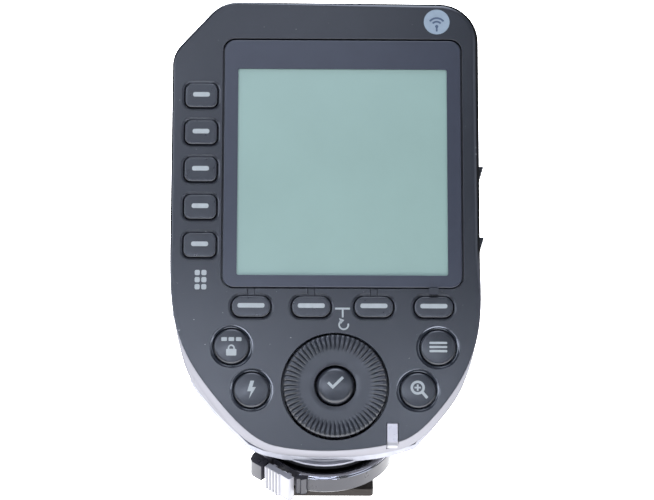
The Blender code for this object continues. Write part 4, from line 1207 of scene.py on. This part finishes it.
FLOOR_SIZE = 8.0             # metres
FLOOR_DROP = 0.00005         # metres below the object's lowest point
FLOOR_GLOW = 4.3             # the photograph's white ground lights the object from below
LIGHT_AIM = (0.0, 0.02, 0.05)
COOL = (0.80, 0.88, 1.08)
LIGHTS = [                   # name, place and diameter in metres, power in watts
    ("chin_glow", (0.0, -0.107, 0.160), 0.04, 0.020),
    ("chin_glow_left", (-0.04, -0.105, 0.155), 0.04, 0.050),
    ("chin_glow_right", (0.030, -0.084, 0.118), 0.02, 0.016),
    ("top_glow", (0.0, -0.034, 0.227), 0.05, 0.020),
    ("top_glow_left", (-0.06, -0.05, 0.22), 0.05, 0.032),
    ("left_softbox", (-0.34, -0.16, 0.34), 0.30, 1.3),
    ("right_softbox", (0.34, -0.16, 0.34), 0.30, 0.45),
    ("back_softbox", (0.0, 0.22, 0.50), 0.35, 2.4),
    ("front_softbox", (0.0, -0.55, 0.10), 0.30, 0.9),
]
CAMERA_AZIMUTH = math.radians(-0.67)
CAMERA_ELEVATION = math.radians(32.70)
CAMERA_ROLL = math.radians(0.62)
CAMERA_PLACE = (-4.73, -420.28, 319.23)
CAMERA_LENS = 151.38


def stage():
    """Pale ground that also glows, as the photograph's white ground does."""
    low, _ = CAD_BOX
    bpy.ops.mesh.primitive_plane_add(size=FLOOR_SIZE, location=(0.0, 0.0, low.z - FLOOR_DROP))
    floor = bpy.context.object
    floor.name = "floor"
    material, tree, shader, coordinates = new_material("floor_pale")
    shader.inputs["Roughness"].default_value = 0.9
    drift = noise(tree, coordinates, 3.0)
    tone = ramp(tree, drift, [(0.0, (0.86, 0.86, 0.87)), (1.0, (0.90, 0.90, 0.90))])
    link(tree, tone, shader.inputs["Base Color"])
    shader.inputs["Emission Color"].default_value = (1.0, 1.0, 1.0, 1.0)
    shader.inputs["Emission Strength"].default_value = FLOOR_GLOW
    floor.data.materials.append(material)


def soft_light(name, place, size, power):
    """A round light that the camera does not see, aimed at the object."""
    data = bpy.data.lights.new(name, "AREA")
    data.shape = "DISK"
    data.size = size
    data.energy = power
    data.color = COOL
    item = bpy.data.objects.new(name, data)
    bpy.context.scene.collection.objects.link(item)
    item.location = place
    way = Vector(LIGHT_AIM) - Vector(place)
    item.rotation_euler = way.to_track_quat("-Z", "Y").to_euler()
    item.visible_camera = False


def lights():
    world = bpy.data.worlds.new("studio")
    bpy.context.scene.world = world
    world.use_nodes = True
    background = world.node_tree.nodes["Background"]
    background.inputs["Color"].default_value = (0.92, 0.96, 1.0, 1.0)
    background.inputs["Strength"].default_value = 0.22
    for row in LIGHTS:
        soft_light(*row)


def camera():
    data = bpy.data.cameras.new("camera")
    data.lens = CAMERA_LENS
    data.sensor_width = 36.0
    item = bpy.data.objects.new("camera", data)
    bpy.context.scene.collection.objects.link(item)
    turn = (Matrix.Rotation(CAMERA_AZIMUTH, 4, "Z")
            @ Matrix.Rotation(math.pi / 2 - CAMERA_ELEVATION, 4, "X")
            @ Matrix.Rotation(CAMERA_ROLL, 4, "Z"))
    item.matrix_world = Matrix.Translation(Vector(CAMERA_PLACE) * MM) @ turn
    data.clip_start = 0.01
    data.clip_end = 20.0
    bpy.context.scene.camera = item


bpy.context.scene.view_settings.view_transform = "Standard"
stage()
lights()
camera()
finish_cad_nodes()
front_shell()
rear_shell()
door()
window()
light_strip()
controls()
switch_knobs()
collar()
release()
